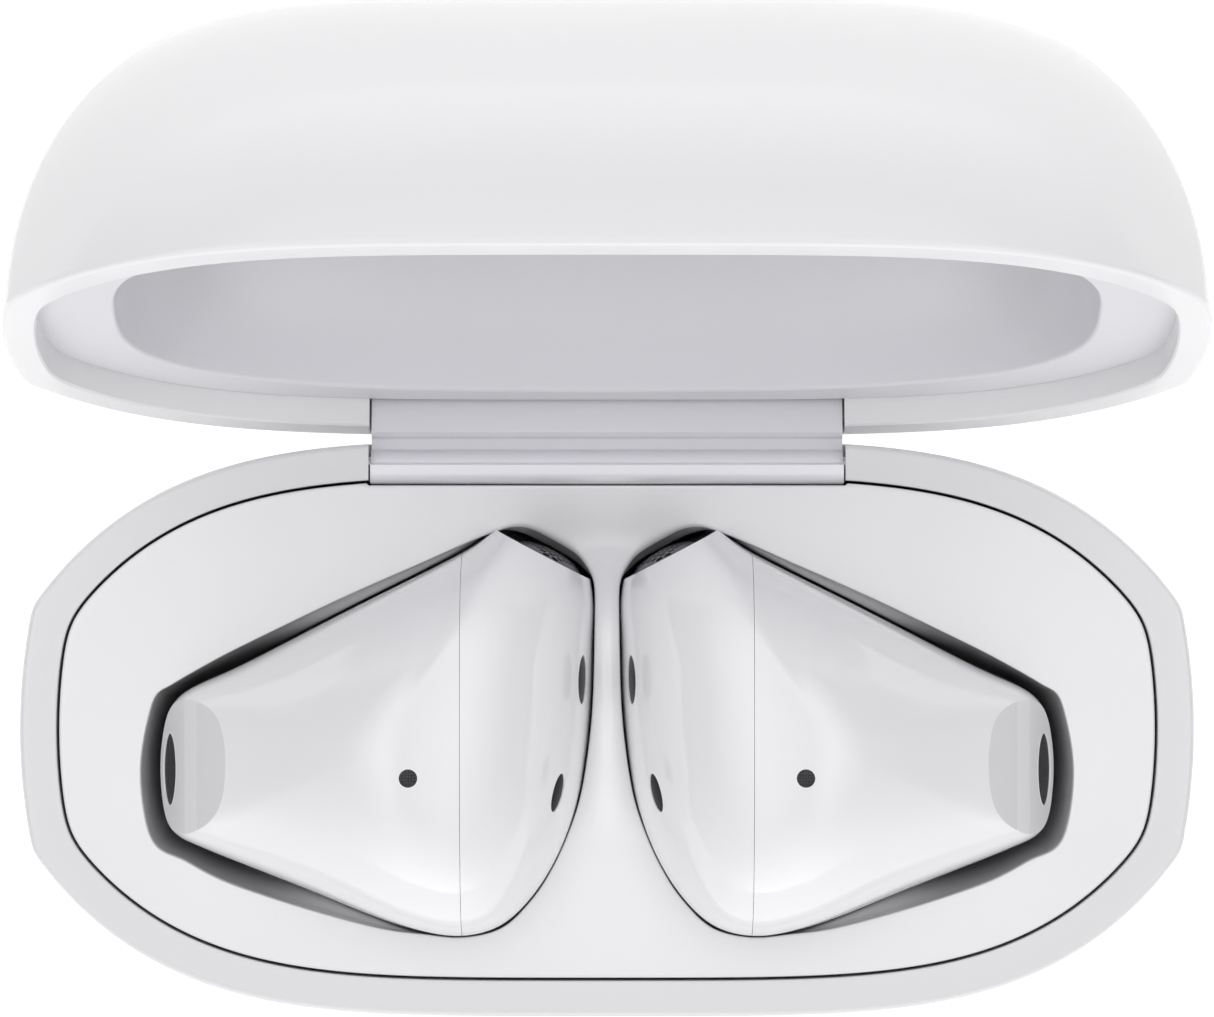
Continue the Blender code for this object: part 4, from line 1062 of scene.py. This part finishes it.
# ---------------------------------------------------------------- lid
def lid_shell():
    """The lid, hollow, recessed for its hinge leaf; modelled shut and swung open."""
    fillet = [level(case_outline(RIM_FILLET * (1 - math.cos(t))),
                    RIM + LID_GAP + RIM_FILLET * (1 - math.sin(t)))
              for t in np.linspace(math.pi / 2, 0.0, 7)]
    shares = round_shares(64, close=0.985)[1:]
    start = RIM + LID_GAP
    outer = dome(case_outline(), (LID_CROWN_HALF_WIDTH, 0.0), start, LID_HEIGHT,
                 shares[shares > RIM_FILLET / LID_HEIGHT * 1.2])
    inner = dome(opening_outline(LID_WALL), (LID_CROWN_HALF_WIDTH - LID_WALL, 0.0), start,
                 LID_HEIGHT - LID_WALL, round_shares(24, close=0.97)[1:])
    lip = 0.07
    inner_edge = [level(opening_outline(LID_WALL - lip * math.cos(t)),
                        start + lip * (1 - math.sin(math.pi / 2 - t)))
                  for t in np.linspace(0.0, math.pi / 2, 4)]
    shell = loft_bm(inner[::-1] + inner_edge[::-1] + fillet + outer)
    recess = box_bm((-HINGE_HALF_WIDTH - 0.05, HINGE_Y - 2.0, start - 1.0),
                    (HINGE_HALF_WIDTH + 0.05, HINGE_Y - 0.05 + LEAF_THICKNESS / 2 + 0.1,
                     HINGE_Z + LEAF_REACH + 0.1))
    shell = combine(shell, "DIFFERENCE", recess)
    piece("lid_outer_shell", swing_open(shell), CASE_WHITE, "lid", ["lid_shell"])


def lid_liner():
    """The lid's inner moulding: a flat flange round a deep rounded cup."""
    face = RIM + LID_GAP + LINER_RECESS
    shrink = rounding((LINER_RECESS + LINER_WALL) / LID_HEIGHT, ROUND_POWER_DEPTH)
    flange = opening_outline(LID_WALL + 0.04) * (1.0, (1 + shrink) / 2)
    mouth = resample(oval(*LINER_MOUTH, 2000, power=LINER_POWER), OUTLINE_COUNT)
    lip = 0.14
    edge = [level(inset_loop(mouth, -lip + lip * math.sin(t)), face + lip * (1 - math.cos(t)))
            for t in np.linspace(0.0, math.pi / 2, 6)]
    cup = dome(mouth, (LINER_CROWN_HALF_WIDTH, 0.0), face + lip, LINER_DEPTH - lip,
               round_shares(40, close=0.98)[1:])
    outer_mouth = inset_loop(mouth, -LINER_WALL)
    back = dome(outer_mouth, (LINER_CROWN_HALF_WIDTH + LINER_WALL, 0.0), face,
                LINER_DEPTH + LINER_WALL, round_shares(20, close=0.97)[3:])
    loops = (cup[::-1] + edge[::-1] + [level(flange, face), level(flange, face + LINER_WALL)]
             + back)
    piece("lid_inner_liner", swing_open(loft_bm(loops)), LINER_SHADED_LILAC, "lid",
          ["lid_liner"])


# ---------------------------------------------------------------- hinge
def turned(angles, radius):
    """Points round the hinge's pin as (y, z)."""
    angles = np.radians(angles)
    return np.stack([HINGE_Y + radius * np.cos(angles), HINGE_Z + radius * np.sin(angles)],
                    axis=1)


def extruded_x(profile, half_width, bevel=0.05):
    """A (y, z) profile drawn out along X with slightly broken end edges."""
    middle = profile.mean(axis=0)
    loops = []
    for x, keep in ((-half_width, 0.985), (-half_width + bevel, 1.0),
                    (half_width - bevel, 1.0), (half_width, 0.985)):
        ring = middle + (profile - middle) * keep
        loops.append(np.column_stack([np.full(len(ring), x), ring]))
    return loft_bm(loops)


def hinge():
    """The fixed leaf with its channel, and the swinging leaf with its barrel."""
    front = HINGE_Y - 0.80
    top = RIM - 0.10
    lip = HINGE_Y - 0.02
    foot = HINGE_Z - BARREL_RADIUS - 0.4
    plate_back = CASE_HALF_DEPTH - BODY_WALL - 0.15
    plate_front = plate_back - 0.6
    radius = 0.42
    bend = np.radians(np.linspace(90.0, 180.0, 12))
    shoulder = np.stack([front + radius + radius * np.cos(bend),
                         top - radius + radius * np.sin(bend)], axis=1)
    profile = np.vstack([[(lip, top - 0.06), (lip - 0.05, top)], shoulder,
                         [(front, RIM - TRAY_THICKNESS - 0.5),
                          (plate_front, RIM - TRAY_THICKNESS - 0.5), (plate_front, RIM - 5.4),
                          (plate_back, RIM - 5.4), (plate_back, foot), (lip, foot)],
                         turned(np.linspace(266.0, 94.0, 24), CHANNEL_RADIUS)])
    piece("hinge_fixed_leaf", extruded_x(profile, HINGE_HALF_WIDTH), HINGE_GREY, "case_body",
          ["hinge_body_leaf"], smooth_deg=25.0)
    neck_back = HINGE_Y + 0.45
    neck_front = HINGE_Y + 0.03
    plate_front = HINGE_Y - 0.05 - LEAF_THICKNESS / 2
    plate_back = plate_front + LEAF_THICKNESS
    step = HINGE_Z + 1.0
    tip = HINGE_Z + LEAF_REACH
    profile = np.vstack([turned(np.linspace(90.0, 385.0, 40), BARREL_RADIUS),
                         [(neck_back, step), (plate_back, step + 0.25), (plate_back, tip),
                          (plate_front, tip), (plate_front, step + 0.12),
                          (plate_front + 0.12, step), (neck_front, step - 0.03)]])
    leaf = extruded_x(profile, HINGE_HALF_WIDTH - 0.03)
    piece("hinge_swinging_leaf", swing_open(leaf), HINGE_GREY, "lid",
          ["hinge_lid_leaf"], smooth_deg=25.0)


# ---------------------------------------------------------------- studio
# Brightness of the soft light tent at elevations of 0, 30, 60 and 90 degrees.
TENT_STEPS = (0.0, 30.0, 60.0, 90.0)
TENT_FRONT = (2.5, 1.3, 0.2, 1.05)
TENT_BACK = (2.1, 0.2, 1.95, 1.05)
TENT_SIDE = (0.0, 0.0, 2.1, 1.05)
TENT_SCALE = 4.0             # a curve holds values up to one
FLOOR_GLOW = 0.33
FLOOR_REACH = 1.5            # metres
CAMERA_LENS = 237.5
CAMERA_Y = 8.30
CAMERA_HEIGHT = 302.0        # from the rim


def light_tent():
    """A world whose brightness depends on the direction: front, back, sides and height."""
    world = bpy.data.worlds.new("light_tent")
    world.use_nodes = True
    nodes, links = world.node_tree.nodes, world.node_tree.links

    def math_node(operation, *inputs):
        node = nodes.new("ShaderNodeMath")
        node.operation = operation
        for socket, value in zip(node.inputs, inputs):
            if isinstance(value, (int, float)):
                socket.default_value = value
            else:
                links.new(value, socket)
        return node.outputs[0]

    place = nodes.new("ShaderNodeTexCoord")
    axes = nodes.new("ShaderNodeSeparateXYZ")
    links.new(place.outputs["Generated"], axes.inputs["Vector"])
    height = math_node("MULTIPLY", math_node("ARCSINE", axes.outputs["Z"]), 2 / math.pi)
    x_square = math_node("MULTIPLY", axes.outputs["X"], axes.outputs["X"])
    y_square = math_node("MULTIPLY", axes.outputs["Y"], axes.outputs["Y"])
    level_square = math_node("MAXIMUM", math_node("ADD", x_square, y_square), 1e-6)
    y_share = math_node("DIVIDE", y_square, level_square)
    behind = math_node("GREATER_THAN", axes.outputs["Y"], 0.0)
    shares = (math_node("MULTIPLY", y_share, math_node("SUBTRACT", 1.0, behind)),
              math_node("MULTIPLY", y_share, behind),
              math_node("SUBTRACT", 1.0, y_share))
    total = 0.0
    for share, tones in zip(shares, (TENT_FRONT, TENT_BACK, TENT_SIDE)):
        curve = nodes.new("ShaderNodeFloatCurve")
        links.new(height, curve.inputs["Value"])
        points = curve.mapping.curves[0].points
        for step, tone in list(zip(TENT_STEPS, tones))[1:-1]:
            points.new(step / 90.0, tone / TENT_SCALE)
        points[0].location = (0.0, tones[0] / TENT_SCALE)
        points[-1].location = (1.0, tones[-1] / TENT_SCALE)
        for point in points:
            point.handle_type = "VECTOR"
        curve.mapping.update()
        total = math_node("ADD", total, math_node("MULTIPLY", share, curve.outputs[0]))
    background = nodes["Background"]
    background.inputs["Color"].default_value = (1.0, 1.0, 1.0, 1.0)
    links.new(math_node("MULTIPLY", total, TENT_SCALE), background.inputs["Strength"])
    bpy.context.scene.world = world


def studio_floor():
    """A plain pale floor that glows enough to stay even."""
    mesh = bpy.data.meshes.new("floor")
    mesh.from_pydata([(-FLOOR_REACH, -FLOOR_REACH, 0), (FLOOR_REACH, -FLOOR_REACH, 0),
                      (FLOOR_REACH, FLOOR_REACH, 0), (-FLOOR_REACH, FLOOR_REACH, 0)],
                     [], [(0, 1, 2, 3)])
    look = Look("pale_floor")
    look.set("Base Color", (0.9, 0.9, 0.9, 1.0))
    look.set("Roughness", 0.9)
    look.set("Emission Color", (1.0, 1.0, 1.0, 1.0))
    look.set("Emission Strength", FLOOR_GLOW)
    mesh.materials.append(look.material)
    floor = bpy.data.objects.new("floor", mesh)
    bpy.context.scene.collection.objects.link(floor)


def studio_camera():
    """A long lens that looks straight down on the open case."""
    camera_data = bpy.data.cameras.new("camera")
    camera_data.sensor_width = 36.0
    camera_data.lens = CAMERA_LENS
    camera_data.clip_start = 0.01
    camera_data.clip_end = 5.0
    camera = bpy.data.objects.new("camera", camera_data)
    camera.location = (0.0, CAMERA_Y * MM, (RIM + CAMERA_HEIGHT) * MM)
    bpy.context.scene.collection.objects.link(camera)
    bpy.context.scene.camera = camera


def studio():
    """Floor, light and camera."""
    bpy.context.scene.view_settings.view_transform = "Standard"
    studio_floor()
    light_tent()
    studio_camera()


def inner_looks():
    """Materials for the CAD pieces that stay as they are."""
    slots = {part["node"]: part["material_slot"] for part in record["subparts"]}
    for name, made in frame["nodes"].items():
        look = INNER_LOOKS.get(slots[name])
        if look is None:
            continue
        made.data.materials.clear()
        made.data.materials.append(look)


inner_looks()
body_shell()
charging_cradle()
earbuds()
rear_fittings()
lid_shell()
lid_liner()
hinge()
studio()
